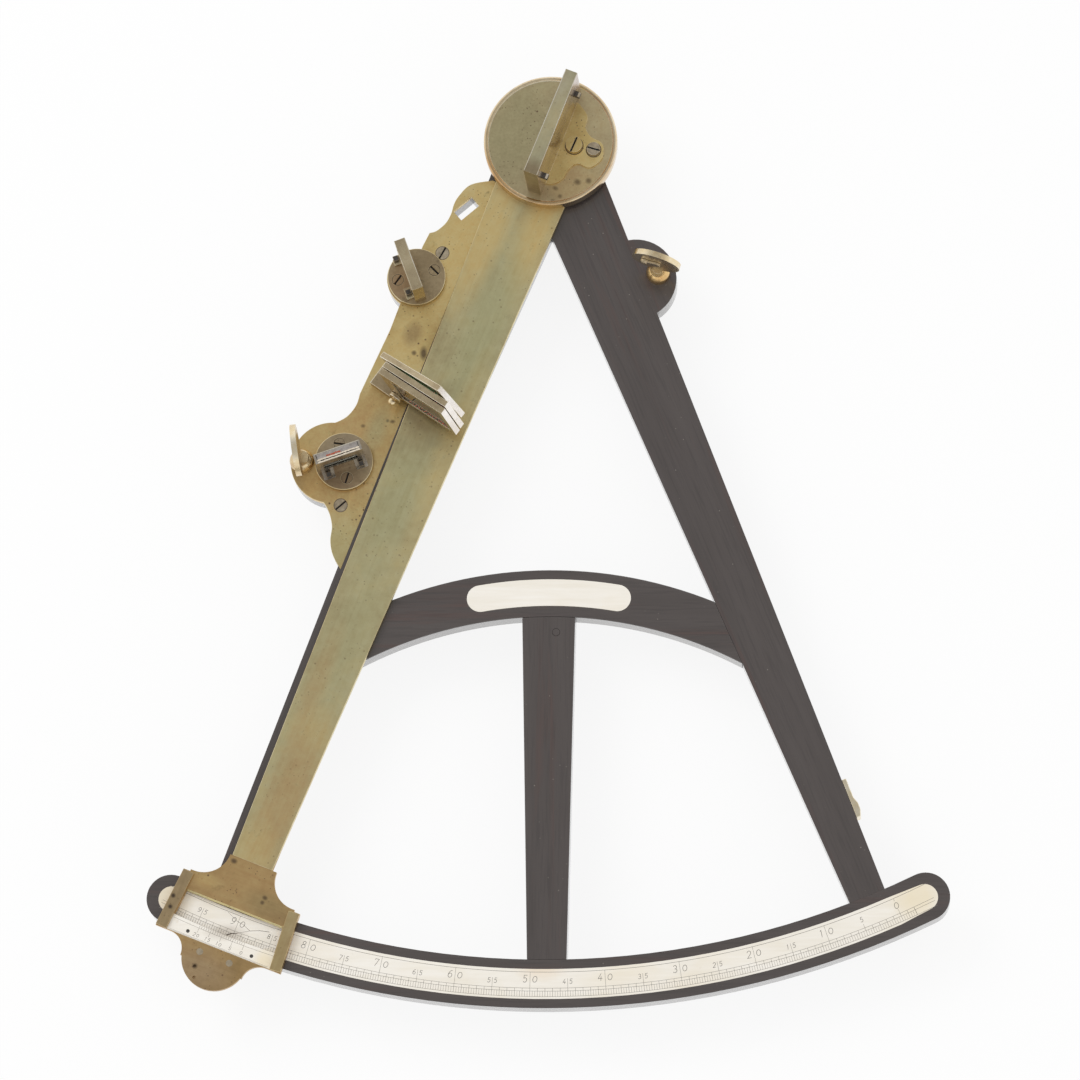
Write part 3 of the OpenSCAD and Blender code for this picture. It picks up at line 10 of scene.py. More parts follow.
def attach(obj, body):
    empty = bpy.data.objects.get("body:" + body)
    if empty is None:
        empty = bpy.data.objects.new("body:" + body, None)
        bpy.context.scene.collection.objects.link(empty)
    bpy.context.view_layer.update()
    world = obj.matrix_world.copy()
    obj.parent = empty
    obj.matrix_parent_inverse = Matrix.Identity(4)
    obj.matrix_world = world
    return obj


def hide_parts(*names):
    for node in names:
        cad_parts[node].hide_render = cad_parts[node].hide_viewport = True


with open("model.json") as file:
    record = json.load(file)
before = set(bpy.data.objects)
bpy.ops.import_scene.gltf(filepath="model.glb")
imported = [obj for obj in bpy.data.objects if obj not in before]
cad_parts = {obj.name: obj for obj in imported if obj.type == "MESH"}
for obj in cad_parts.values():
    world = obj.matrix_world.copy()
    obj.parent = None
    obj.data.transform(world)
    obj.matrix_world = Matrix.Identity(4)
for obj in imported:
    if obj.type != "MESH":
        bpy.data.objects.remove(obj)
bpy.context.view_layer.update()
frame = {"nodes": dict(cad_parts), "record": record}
nodes = frame["nodes"]
body_of_node = {n: b for b, members in frame["record"]["behaviour"]["bodies"].items() for n in members}

# The octant lies on its feet with its face up. Sizes are in millimetres until they reach a mesh, and turns in
# degrees. Places are measured from the pivot: in the straight frame, in the index arm's or in the left leg's.
MM = 0.001
PIVOT_Y = 179.95
ARM_TURN = -21.7
LEG_TURN = 22.35
LEFT = -LEG_TURN

# Middles of the two horizon glasses' bases in the left leg's frame, and the turns of the glasses in it
FORE, FORE_TURN = (-32.3, -78.9), 42.7
BACK, BACK_TURN = (-29.4, -168.9), 131.15

# Heights of the tops that carry marks, painted shade or painted highlights
FACE = 32.0
VERNIER_TOP = 35.05
BASE_TOP = 35.1
BRACKET_TOP = 42.25
HOLDER_TOP = 57.1
ADJUSTER_TOP = 59.25
TRAY_TOP = 75.05


def spot(x, y, z, turn=0.0):
    """A place measured from the pivot, in a frame turned about it, as a point in metres."""
    p = Matrix.Rotation(math.radians(turn), 3, "Z") @ Vector((x, y, z))
    return Vector((p.x, p.y + PIVOT_Y, p.z)) * MM


def turned(x, y, turn):
    """A place in a frame turned about the pivot, measured in the straight one."""
    a = math.radians(turn)
    return x * math.cos(a) - y * math.sin(a), x * math.sin(a) + y * math.cos(a)


def on_base(base, turn, x, y):
    """A place on a horizon glass's base, measured in the left leg's frame."""
    dx, dy = turned(x, y, turn)
    return base[0] + dx, base[1] + dy


# Finishes. The scales of their noises and specks are in cells per metre.

RAGGED = 0.7  # how far noise frays the edge of a patch, in shares of its half size
PATCH_FULL, PATCH_GONE = 0.85, 1.85  # where a patch starts to fade and where it ends, in the same shares
PATCH_REACH = 0.4  # brings those shares into the 0 to 1 of a ramp


class Finish:
    """A material on the piece's own coordinates, so a pattern stays with the piece."""

    def __init__(self, name, roughness=0.5, metal=0.0, coat=0.0, coat_roughness=0.1):
        self.material = bpy.data.materials.new(name)
        self.material.use_nodes = True
        self.tree = self.material.node_tree
        self.tree.nodes.clear()
        out = self.tree.nodes.new("ShaderNodeOutputMaterial")
        self.shader = self.tree.nodes.new("ShaderNodeBsdfPrincipled")
        self.tree.links.new(self.shader.outputs[0], out.inputs["Surface"])
        self.coordinates = self.tree.nodes.new("ShaderNodeTexCoord").outputs["Object"]
        self.set("Roughness", roughness)
        self.set("Metallic", metal)
        self.set("Coat Weight", coat)
        self.set("Coat Roughness", coat_roughness)

    def set(self, socket, value):
        self.shader.inputs[socket].default_value = value

    def link(self, source, socket):
        self.tree.links.new(source, self.shader.inputs[socket])

    def put(self, socket, value):
        """Sets a socket to a colour or a number, or links it."""
        if isinstance(value, tuple):
            socket.default_value = (*value, 1)
        elif isinstance(value, (int, float)):
            socket.default_value = value
        else:
            self.tree.links.new(value, socket)

    def framed(self, origin, turn, unit):
        """Coordinates in a frame with its own origin, turn and units."""
        mapping = self.tree.nodes.new("ShaderNodeMapping")
        mapping.vector_type = "TEXTURE"
        mapping.inputs["Location"].default_value = origin
        mapping.inputs["Rotation"].default_value = (0, 0, math.radians(turn))
        mapping.inputs["Scale"].default_value = unit
        self.tree.links.new(self.coordinates, mapping.inputs["Vector"])
        return mapping.outputs["Vector"]

    def along(self, turn, drawn_out):
        """Coordinates turned with the grain or the brushing, and drawn out along it."""
        return self.framed((0, 0, 0), turn, (1, drawn_out, 1))

    def noise(self, scale, where=None, detail=4.0, rough=0.55, twist=0.0):
        node = self.tree.nodes.new("ShaderNodeTexNoise")
        node.inputs["Scale"].default_value = scale
        node.inputs["Detail"].default_value = detail
        node.inputs["Roughness"].default_value = rough
        node.inputs["Distortion"].default_value = twist
        self.tree.links.new(where or self.coordinates, node.inputs["Vector"])
        return node.outputs["Fac"]

    def spots(self, scale, size, soft):
        """1 inside small round specks, 0 elsewhere."""
        node = self.tree.nodes.new("ShaderNodeTexVoronoi")
        node.inputs["Scale"].default_value = scale
        self.tree.links.new(self.coordinates, node.inputs["Vector"])
        return self.steps(node.outputs["Distance"], (size - soft, 1.0), (size + soft, 0.0))

    def steps(self, value, *stops):
        """Maps a number onto greys or colours by a few stops."""
        node = self.tree.nodes.new("ShaderNodeValToRGB")
        ramp = node.color_ramp
        while len(ramp.elements) < len(stops):
            ramp.elements.new(0.5)
        for element, (place, shade) in zip(ramp.elements, stops):
            element.position = min(max(place, 0.0), 1.0)
            element.color = (shade, shade, shade, 1) if isinstance(shade, float) else (*shade, 1)
        self.tree.links.new(value, node.inputs["Fac"])
        return node.outputs["Color"]

    def mixed(self, share, a, b, how="MIX"):
        node = self.tree.nodes.new("ShaderNodeMix")
        node.data_type = "RGBA"
        node.blend_type = how
        for socket, value in ((node.inputs["Factor"], share), (node.inputs["A"], a), (node.inputs["B"], b)):
            self.put(socket, value)
        return node.outputs["Result"]

    def sums(self, how, a, b):
        node = self.tree.nodes.new("ShaderNodeMath")
        node.operation = how
        for socket, value in zip(node.inputs, (a, b)):
            self.put(socket, value)
        return node.outputs["Value"]

    def patch(self, x, y, half_x, half_y, turn, share):
        """A ragged patch round a place measured from the pivot: its share inside, 0 outside."""
        inside = self.framed(spot(x, y, 0, turn), turn, (half_x * MM, half_y * MM, 1.0))
        node = self.tree.nodes.new("ShaderNodeVectorMath")
        node.operation = "LENGTH"
        self.tree.links.new(inside, node.inputs[0])
        frayed = self.sums("MULTIPLY", self.noise(110, rough=0.6), RAGGED)
        away = self.sums("ADD", node.outputs["Value"], frayed)
        return self.steps(
            self.sums("MULTIPLY", away, PATCH_REACH),
            (PATCH_REACH * PATCH_FULL, float(share)), (PATCH_REACH * PATCH_GONE, 0.0))

    def patched(self, colour, patches):
        """Lays patches over a colour, each a place, two half sizes, a turn, a shade and its share."""
        for x, y, half_x, half_y, turn, shade, share in patches:
            colour = self.mixed(self.patch(x, y, half_x, half_y, turn, share), colour, shade)
        return colour

    def bumps(self, height, strength, depth):
        node = self.tree.nodes.new("ShaderNodeBump")
        node.inputs["Strength"].default_value = strength
        node.inputs["Distance"].default_value = depth * MM
        self.tree.links.new(height, node.inputs["Height"])
        self.link(node.outputs["Normal"], "Normal")


def ebony(name, grain, coat_ior=1.5):
    """Polished dark wood: brown black, with reddish streaks, pale nicks and fine pores along the grain."""
    f = Finish(name, coat=1.0, coat_roughness=0.14)
    f.set("Coat IOR", coat_ior)
    broad = f.noise(90, f.along(grain, 14), detail=5, rough=0.6)
    colour = f.steps(
        broad, (0.3, (0.049, 0.038, 0.034)), (0.52, (0.060, 0.047, 0.043)), (0.75, (0.069, 0.056, 0.051)))
    streaks = f.noise(150, f.along(grain, 20), detail=6, rough=0.65, twist=0.4)
    colour = f.mixed(f.steps(streaks, (0.54, 0.0), (0.70, 0.5)), colour, (0.085, 0.036, 0.026))
    nicks = f.sums("MULTIPLY", f.spots(260, 0.055, 0.03), f.steps(f.noise(60), (0.48, 0.0), (0.58, 0.8)))
    colour = f.mixed(nicks, colour, (0.30, 0.27, 0.23))
    pores = f.noise(1100, f.along(grain, 22), detail=3, rough=0.6)
    colour = f.mixed(f.steps(pores, (0.35, 0.25), (0.5, 0.0)), colour, (0.016, 0.012, 0.011))
    f.link(colour, "Base Color")
    f.link(f.steps(f.noise(35), (0.3, 0.36), (0.7, 0.52)), "Roughness")
    f.bumps(pores, 0.25, 0.05)
    return f.material


def old_brass(name, main, deep, bright, brushed=None, patches=(), specks=0.4, stains=0.3, polish=(0.26, 0.44)):
    """Worn lacquered brass: broad patches, fine streaks along the brushing, dark specks and stains."""
    f = Finish(name, metal=1.0)
    smooth, dull = polish
    broad = f.noise(36, detail=5, rough=0.62, twist=0.5)
    colour = f.patched(f.steps(broad, (0.32, deep), (0.50, main), (0.70, bright)), patches)
    fine = f.noise(260, detail=5, rough=0.7)
    mottled = f.steps(fine, (0.3, (0.40, 0.39, 0.37)), (0.7, (0.60, 0.60, 0.60)))
    colour = f.mixed(0.45, colour, mottled, "OVERLAY")
    if brushed is None:
        streaks = f.noise(900, detail=3, rough=0.6)
    else:
        streaks = f.noise(700, f.along(brushed, 30), rough=0.6)
    streaked = f.steps(streaks, (0.3, (0.38, 0.37, 0.36)), (0.7, (0.62, 0.62, 0.61)))
    colour = f.mixed(0.3, colour, streaked, "OVERLAY")
    blots = f.steps(f.noise(130, detail=6, rough=0.7, twist=0.3), (0.61, 0.0), (0.72, float(stains)))
    colour = f.mixed(blots, colour, tuple(0.5 * c for c in deep))
    few = f.steps(f.noise(75), (0.50, 0.0), (0.60, float(specks)))
    some = f.steps(f.noise(110, detail=3), (0.50, 0.0), (0.62, float(specks)))
    dots = f.sums("MULTIPLY", f.spots(300, 0.12, 0.06), few)
    pits = f.sums("MULTIPLY", f.spots(620, 0.15, 0.08), some)
    dark = f.sums("MAXIMUM", dots, pits)
    f.link(f.mixed(dark, colour, (0.17, 0.095, 0.07)), "Base Color")
    worn = f.mixed(0.4, f.steps(broad, (0.3, dull), (0.7, smooth)), f.steps(streaks, (0.3, dull), (0.7, smooth)))
    f.link(f.mixed(f.sums("MAXIMUM", blots, dark), worn, (0.62, 0.62, 0.62)), "Roughness")
    f.bumps(streaks, 0.10, 0.03)
    return f.material


def old_steel(name, colour, smooth):
    """Dulled steel, in darker and brighter patches."""
    f = Finish(name, metal=1.0)
    patches = f.noise(380, detail=5, rough=0.65)
    deep, bright = tuple(0.55 * c for c in colour), tuple(min(1.3 * c, 1) for c in colour)
    f.link(f.steps(patches, (0.3, deep), (0.6, colour), (0.8, bright)), "Base Color")
    f.link(f.steps(patches, (0.3, smooth + 0.2), (0.7, smooth)), "Roughness")
    f.bumps(f.noise(2500), 0.1, 0.02)
    return f.material


def aged_bone(name, patches=(), stained=True):
    """Bone with fibres along its length, yellowed in places."""
    f = Finish(name, coat=0.15, coat_roughness=0.3)
    fibres = f.noise(420, f.along(90, 12), detail=5, rough=0.6)
    colour = f.steps(fibres, (0.3, (0.845, 0.795, 0.70)), (0.55, (0.89, 0.845, 0.765)), (0.75, (0.92, 0.885, 0.82)))
    yellow = f.steps(f.noise(28, detail=3, rough=0.5, twist=0.5), (0.52, 0.0), (0.74, 0.4))
    colour = f.mixed(yellow, colour, (0.82, 0.72, 0.53))
    if stained:
        blots = f.steps(f.noise(95, detail=5, rough=0.65), (0.67, 0.0), (0.77, 0.3))
        colour = f.mixed(blots, colour, (0.58, 0.47, 0.32))
    f.link(f.patched(colour, patches), "Base Color")
    f.link(f.steps(fibres, (0.3, 0.42), (0.7, 0.30)), "Roughness")
    f.bumps(fibres, 0.1, 0.02)
    return f.material


def glass(name, colour):
    """Clear or coloured glass, faintly uneven."""
    f = Finish(name, roughness=0.02)
    f.link(f.steps(f.noise(90), (0.4, tuple(0.92 * c for c in colour)), (0.6, colour)), "Base Color")
    f.set("Transmission Weight", 1.0)
    f.set("IOR", 1.5)
    return f.material


def silvered(name):
    """A mirror's silver with worn and dull places."""
    f = Finish(name, metal=1.0)
    age = f.noise(220, detail=6, rough=0.7)
    silver = f.steps(age, (0.35, (0.42, 0.40, 0.36)), (0.5, (0.74, 0.76, 0.75)), (0.8, (0.82, 0.84, 0.83)))
    f.link(silver, "Base Color")
    f.link(f.steps(age, (0.3, 0.25), (0.55, 0.04)), "Roughness")
    return f.material


def ink(name, colour):
    """A matt filling: ink, dirt, wax or cement."""
    f = Finish(name, roughness=0.7)
    f.link(f.steps(f.noise(1500), (0.3, tuple(0.7 * c for c in colour)), (0.7, colour)), "Base Color")
    return f.material


# Shades of the patches and spots on the brass
GOLDEN = (0.88, 0.67, 0.30)
OLIVE = (0.58, 0.56, 0.32)
COPPER = (0.67, 0.44, 0.20)
BROWN = (0.37, 0.25, 0.13)
SPOT = (0.20, 0.145, 0.085)
DARK_SPOT = (0.12, 0.085, 0.06)
RIVET = (0.08, 0.06, 0.05)

# How smooth and how dull some of the brass is
SATIN = (0.16, 0.36)
GLOSSY = (0.14, 0.30)

PLATE = old_brass(
    "plate_brass", (0.77, 0.60, 0.28), (0.61, 0.46, 0.20), (0.91, 0.74, 0.38), specks=0.95, stains=0.45,
    patches=(
        (-21, -58, 9, 34, LEFT, GOLDEN, 0.7), (-26, -108, 8, 20, LEFT, GOLDEN, 0.6),
        (-29, -146, 14, 12, LEFT, COPPER, 0.55), (-30, -172, 19, 20, LEFT, COPPER, 0.6),
        (-56.6, -95.3, 1.3, 2.6, 0, DARK_SPOT, 0.8), (-60.9, -95, 0.9, 0.9, 0, DARK_SPOT, 0.7),
        (-70.2, -126.4, 1.2, 0.8, 0, DARK_SPOT, 0.7), (-72.4, -126.0, 0.7, 0.7, 0, DARK_SPOT, 0.7),
        (-83.3, -128.3, 0.9, 0.7, 0, DARK_SPOT, 0.6), (-22, -150, 4, 9, LEFT, OLIVE, 0.5),
        (-24, -103, 3.5, 5, LEFT, BROWN, 0.6), (-46, -182, 6, 8, LEFT, BROWN, 0.5),
        (-18, -205, 8, 14, LEFT, OLIVE, 0.45),
    ))
ARM = old_brass(
    "arm_brass", (0.66, 0.59, 0.34), (0.55, 0.48, 0.27), (0.77, 0.66, 0.35), brushed=ARM_TURN, specks=0.55,
    patches=(
        (-11, -48, 7, 32, ARM_TURN, GOLDEN, 0.75), (9, -40, 7, 26, ARM_TURN, GOLDEN, 0.85),
        (4, -92, 9, 38, ARM_TURN, OLIVE, 0.75), (10, -150, 5, 40, ARM_TURN, GOLDEN, 0.35),
        (-3, -178, 9, 30, ARM_TURN, OLIVE, 0.6), (-6, -136, 9, 14, ARM_TURN, BROWN, 0.4),
        (2, -240, 8, 30, ARM_TURN, OLIVE, 0.4), (-4, -268, 4, 24, ARM_TURN, COPPER, 0.35),
        (3, -320, 9, 34, ARM_TURN, COPPER, 0.55), (-3, -345, 8, 12, ARM_TURN, GOLDEN, 0.4),
    ))
DISC = old_brass(
    "disc_brass", (0.58, 0.48, 0.29), (0.48, 0.39, 0.24), (0.72, 0.60, 0.35), specks=0.95,
    patches=(
        (-16, -2, 15, 26, ARM_TURN, (0.50, 0.45, 0.26), 0.75), (16, -14, 16, 12, ARM_TURN, (0.66, 0.50, 0.26), 0.75),
        (14, 17, 10, 8, ARM_TURN, (0.70, 0.59, 0.35), 0.6), (18.4, -13.3, 1.5, 1.2, ARM_TURN, SPOT, 0.8),
        (22.9, -11.0, 1.2, 1.2, ARM_TURN, SPOT, 0.8), (11.4, -25.4, 1.0, 0.7, ARM_TURN, SPOT, 0.8),
        (10.3, -19.5, 1.2, 0.8, ARM_TURN, SPOT, 0.7), (13.6, -22.2, 0.8, 0.8, ARM_TURN, SPOT, 0.7),
    ))
RIM = old_brass(
    "rim_brass", (0.72, 0.57, 0.37), (0.50, 0.36, 0.21), (0.90, 0.80, 0.63), stains=0.45, polish=GLOSSY,
    patches=(
        (-18, -24, 14, 9, ARM_TURN, (0.58, 0.36, 0.17), 0.85), (8, -29, 14, 6, ARM_TURN, (0.50, 0.34, 0.18), 0.8),
        (29, -6, 4, 14, ARM_TURN, (0.60, 0.44, 0.27), 0.6),
    ))
TRAY = old_brass(
    "tray_brass", (0.57, 0.53, 0.35), (0.47, 0.43, 0.28), (0.68, 0.60, 0.37), brushed=ARM_TURN,
    patches=(
        (2, -24, 9, 5, ARM_TURN, (0.26, 0.17, 0.10), 0.6), (-1, 18, 4, 9, ARM_TURN, (0.60, 0.54, 0.40), 0.5),
    ))
BRACKET = old_brass("bracket_brass", (0.81, 0.63, 0.28), (0.65, 0.49, 0.20), (0.91, 0.73, 0.37), specks=1.0)
# Painted sheen: a pinker, lighter brass for the mirror tray's side that faces across the arm
PAINTED_SHEEN_ROSE = old_brass(
    "rose_painted_sheen", (0.58, 0.50, 0.44), (0.44, 0.36, 0.31), (0.76, 0.68, 0.61), specks=0.9, stains=0.4, polish=GLOSSY)
# Painted highlight: a pale brass for the shades' ends, which face a bright low light
PAINTED_END_HIGHLIGHT = old_brass(
    "painted_end_highlight", (0.88, 0.82, 0.76), (0.76, 0.68, 0.60), (0.95, 0.91, 0.87), specks=0.2, stains=0.2,
    polish=(0.22, 0.40))
END = old_brass(
    "end_brass", (0.57, 0.385, 0.18), (0.44, 0.30, 0.14), (0.66, 0.46, 0.22), brushed=ARM_TURN + 90, specks=0.9,
    polish=(0.30, 0.48),
    patches=(
        (0, -356, 14, 9, ARM_TURN, (0.63, 0.43, 0.20), 0.5), (-4, -404, 13, 9, ARM_TURN, (0.53, 0.39, 0.24), 0.7),
        (14, -366, 10, 5, ARM_TURN, (0.47, 0.36, 0.18), 0.6), (5, -412, 8, 6, ARM_TURN, BROWN, 0.35),
        (-7.8, -352.7, 1.3, 1.0, ARM_TURN, DARK_SPOT, 0.8), (11.2, -362.8, 1.0, 0.8, ARM_TURN, DARK_SPOT, 0.7),
        (10.9, -365.2, 0.8, 0.8, ARM_TURN, DARK_SPOT, 0.7), (-6, -402, 1.1, 1.1, ARM_TURN, DARK_SPOT, 0.8),
        (2, -369, 16, 2.2, ARM_TURN + 4, (0.44, 0.30, 0.15), 0.6), (-16, -365, 5, 3, ARM_TURN, GOLDEN, 0.4),
    ))
RAIL = old_brass(
    "rail_brass", (0.57, 0.44, 0.23), (0.49, 0.37, 0.19), (0.65, 0.52, 0.29), brushed=ARM_TURN, specks=0.9, stains=0.2,
    patches=(
        (-26, -376, 5, 22, ARM_TURN, (0.46, 0.34, 0.20), 0.8), (-26.5, -376.8, 0.9, 0.9, ARM_TURN, RIVET, 0.9),
        (-25.9, -381.8, 0.9, 0.9, ARM_TURN, RIVET, 0.9),
    ))
DARK = old_brass(
    "brown_brass", (0.46, 0.36, 0.22), (0.36, 0.27, 0.16), (0.58, 0.46, 0.28), specks=0.6, stains=0.5,
    patches=(
        (-29, -176, 12, 7, LEFT, (0.29, 0.19, 0.12), 0.6), (-29, -163, 12, 8, LEFT, (0.40, 0.33, 0.24), 0.6),
        (-38, -84, 5, 9, LEFT, (0.52, 0.34, 0.20), 0.5),
    ))
FITTING = old_brass("fitting_brass", (0.80, 0.66, 0.43), (0.60, 0.45, 0.26), (0.93, 0.86, 0.70), polish=SATIN)
AMBER = old_brass("amber_brass", (0.70, 0.47, 0.21), (0.44, 0.27, 0.12), (0.95, 0.73, 0.39), polish=SATIN)
SHADE = old_brass(
    "shade_brass", (0.45, 0.365, 0.235), (0.34, 0.265, 0.17), (0.57, 0.475, 0.32), specks=0.5, stains=0.4,
    polish=GLOSSY)
FORE_HOLDER = old_brass(
    "fore_holder_brass", (0.62, 0.52, 0.34), (0.49, 0.40, 0.26), (0.74, 0.63, 0.43), stains=0.4, polish=(0.16, 0.32))
HOLDER = old_brass(
    "holder_brass", (0.53, 0.48, 0.41), (0.39, 0.34, 0.29), (0.70, 0.65, 0.56), stains=0.4, polish=(0.14, 0.32))
# Edge finishes: near-white brass on rounded edges, partly rubbed wear and partly painted highlight
GLINT_AND_WEAR = old_brass(
    "bright_edge", (0.90, 0.83, 0.68), (0.72, 0.62, 0.45), (0.95, 0.92, 0.84), specks=0.0, polish=(0.2, 0.4))
PALE_GLINT_AND_WEAR = old_brass(
    "pale_edge", (0.78, 0.66, 0.40), (0.60, 0.47, 0.26), (0.88, 0.79, 0.56), specks=0.0, polish=(0.25, 0.45))

STEEL = old_steel("old_steel", (0.63, 0.53, 0.38), 0.3)
BLACK_STEEL = old_steel("black_steel", (0.15, 0.14, 0.13), 0.4)
SEAL = old_steel("grey_seal", (0.62, 0.57, 0.53), 0.4)
BONE = aged_bone("aged_bone", (
    (-3, -371, 9, 5, 0, (0.80, 0.62, 0.42), 0.45), (162, -341, 8, 8, 0, (0.83, 0.72, 0.50), 0.6),
    (-166, -340, 8, 8, 0, (0.80, 0.69, 0.48), 0.6), (-141, -356.5, 7, 3, 0, (0.45, 0.38, 0.30), 0.5),
    (22, -389, 4, 5, ARM_TURN, (0.84, 0.72, 0.50), 0.7),
))
PLAIN_BONE = aged_bone("plate_bone", stained=False)
MIRROR = silvered("silvered_glass")
CLEAR = glass("horizon_glass", (0.80, 0.86, 0.84))
GREEN = glass("green_glass", (0.08, 0.26, 0.20))
RED = glass("red_glass", (0.22, 0.035, 0.025))
WAX = ink("red_wax", (0.46, 0.10, 0.045))
CEMENT = ink("pale_cement", (0.80, 0.70, 0.56))
# Painted shade: near black in the screw slots and in the back holder's slit
PAINTED_SHADE_BLACK = ink("black_painted_shade", (0.012, 0.010, 0.009))
# Painted shade: a brown ring round the screw heads, where they meet their seats
PAINTED_RING_SHADE = ink("brown_painted_shade", (0.10, 0.065, 0.045))
CRACK = ink("crack_dirt", (0.16, 0.125, 0.10))
INK = ink("worn_ink", (0.17, 0.15, 0.13))
FINE_INK = ink("fine_ink", (0.24, 0.215, 0.185))
# Painted sheen: a copy of the ebony with a much stronger coat, so the side walls shine nearly white
EBONY_WALL_SHEEN = ebony("ebony_wall_painted_sheen", 0, 2.4)

# Turn of the grain in each piece of wood
GRAIN = {
    "left_leg": LEFT, "right_leg": LEG_TURN, "arc_limb": 90, "curved_brace": 90, "centre_strut": 0, "strut_peg": 0,
}
COATS = {
    "degree_scale": BONE, "name_plate": PLAIN_BONE, "vernier_scale": BONE,
    "horizon_plate": PLATE, "plate_screws": STEEL, "pivot_bush": ARM, "back_plate": FITTING,
    "back_plate_screws": STEEL, "frame_feet": FITTING, "edge_clip": FITTING,
    "fore_sight_foot": AMBER, "back_sight_foot": FITTING,
    "index_arm": ARM, "index_disc": DISC, "end_plate": END, "end_rails": RAIL, "vernier_pins": BLACK_STEEL,
    "mirror_frame": TRAY, "index_mirror": MIRROR, "mirror_screws": BRACKET, "mirror_adjusters": BLACK_STEEL,
    "pivot_shaft": STEEL, "pivot_washer": FITTING, "pivot_screw": STEEL, "clamp_bracket": END,
    "clamp_bracket_screws": STEEL, "clamp_spring": STEEL, "clamp_screw": FITTING,
    "fore_glass_base": DARK, "fore_glass_holder": FORE_HOLDER, "fore_glass": CLEAR, "fore_glass_screws": DARK,
    "fore_lever": FITTING, "fore_lever_screw": STEEL, "fore_lock_screw": FITTING,
    "back_glass_base": DARK, "back_glass_holder": HOLDER, "back_glass": CLEAR, "back_glass_screws": DARK,
    "back_lever": FITTING, "back_lever_screw": STEEL, "back_lock_screw": FITTING,
    "shade_block": DARK, "shade_pin": FITTING,
    "shade_frame_1": SHADE, "shade_frame_2": SHADE, "shade_frame_3": SHADE,
    "shade_glass_1": GREEN, "shade_glass_2": RED, "shade_glass_3": RED,
    "fore_sight_vane": FITTING, "fore_sight_shutter": STEEL, "back_sight_vane": FITTING,
}
for node, grain in GRAIN.items():
    COATS[node] = ebony(node + "_ebony", grain)

# Widths of the worn round on the pieces' edges
EDGES = {
    node: width for width, names in (
        (0.5, "left_leg right_leg arc_limb curved_brace centre_strut frame_feet"),
        (0.4, "mirror_frame clamp_bracket edge_clip back_plate"),
        (0.35, "fore_sight_vane back_sight_vane"),
        (0.3, "pivot_washer pivot_screw fore_glass_base back_glass_base fore_lever back_lever shade_block"),
        (0.25, "index_arm index_disc end_plate end_rails mirror_screws shade_frame_1 shade_frame_2 shade_frame_3"),
        (0.2, "horizon_plate fore_sight_foot back_sight_foot fore_glass_holder back_glass_holder shade_pin"),
        (0.15, "vernier_scale fore_sight_shutter"),
        (0.12, "degree_scale fore_glass_screws back_glass_screws"),
        (0.1, "name_plate plate_screws"),
    ) for node in names.split()
}
# Finishes of the rounded edges: a painted highlight over rubbed wear
EDGE_GLINT_AND_WEAR = {
    "mirror_frame": GLINT_AND_WEAR, "mirror_screws": GLINT_AND_WEAR, "index_disc": GLINT_AND_WEAR, "shade_block": GLINT_AND_WEAR,
    "shade_frame_1": GLINT_AND_WEAR, "shade_frame_2": GLINT_AND_WEAR, "shade_frame_3": GLINT_AND_WEAR,
    "fore_sight_vane": GLINT_AND_WEAR, "back_sight_vane": GLINT_AND_WEAR,
    "horizon_plate": PALE_GLINT_AND_WEAR, "index_arm": PALE_GLINT_AND_WEAR, "fore_glass_base": PALE_GLINT_AND_WEAR, "back_glass_base": PALE_GLINT_AND_WEAR,
}

# Faces of some pieces that have a finish of their own, told by their middle c in mm from the pivot and their normal n
ACROSS_ARM = Vector((*turned(1, 0, ARM_TURN), 0))
# The shades' ends that face this way take the pale brass, a painted highlight
SHADE_END = Vector((0.79, -0.57, 0.23))  # the way the shades' bright ends face
RIM_FROM = 27.75  # where the disc's rim starts, from the pivot
SMALL_SCREW_FROM = 15.5  # between the mirror's two screws, across the arm
FOOT_FROM, FOOT_TOP = 5.3, 42.3  # the mirror frame's foot, across the arm and in height
ADJUSTERS_FROM = 35.3  # the horizon glasses' adjusting screws are above this height, their seats' screws below


def black_adjusters(c, n):
    return c.z > ADJUSTERS_FROM


OWN_FACES = {
    "index_disc": ((RIM, lambda c, n: math.hypot(c.x, c.y) > RIM_FROM),),
    "mirror_screws": ((STEEL, lambda c, n: c.dot(ACROSS_ARM) > SMALL_SCREW_FROM),),
    "mirror_frame": (
        (BRACKET, lambda c, n: c.z < FOOT_TOP and c.dot(ACROSS_ARM) > FOOT_FROM),
        # the tray's side facing across the arm takes the pinker brass: a painted sheen
        (PAINTED_SHEEN_ROSE, lambda c, n: n.dot(ACROSS_ARM) > 0.9),
    ),
    "fore_glass_screws": ((BLACK_STEEL, black_adjusters),),
    "back_glass_screws": ((BLACK_STEEL, black_adjusters),),
}
# The shades' ends take the pale brass: a painted highlight
for number in (1, 2, 3):
    OWN_FACES["shade_frame_%d" % number] = ((PAINTED_END_HIGHLIGHT, lambda c, n: n.dot(SHADE_END) > 0.93),)
# Every side wall of the wood takes that stronger coat, a painted sheen
for wood in GRAIN:
    OWN_FACES[wood] = ((EBONY_WALL_SHEEN, lambda c, n: abs(n.z) < 0.5),)

SAME_POINT = 2e-6  # corners closer than this are one, in metres
FLAT = math.radians(0.2)  # faces that meet at less are one face
EDGE = math.radians(28)  # faces that meet at more have an edge


def finished(name, body, bm, coat, stands_for=()):
    """Turns a bmesh into a piece of the octant that rides on a body."""
    mesh = bpy.data.meshes.new(name)
    bm.to_mesh(mesh)
    bm.free()
    mesh.materials.append(coat)
    piece = bpy.data.objects.new(name, mesh)
    bpy.context.scene.collection.objects.link(piece)
    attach(piece, body)
    if stands_for:
        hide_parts(*stands_for)
    return piece


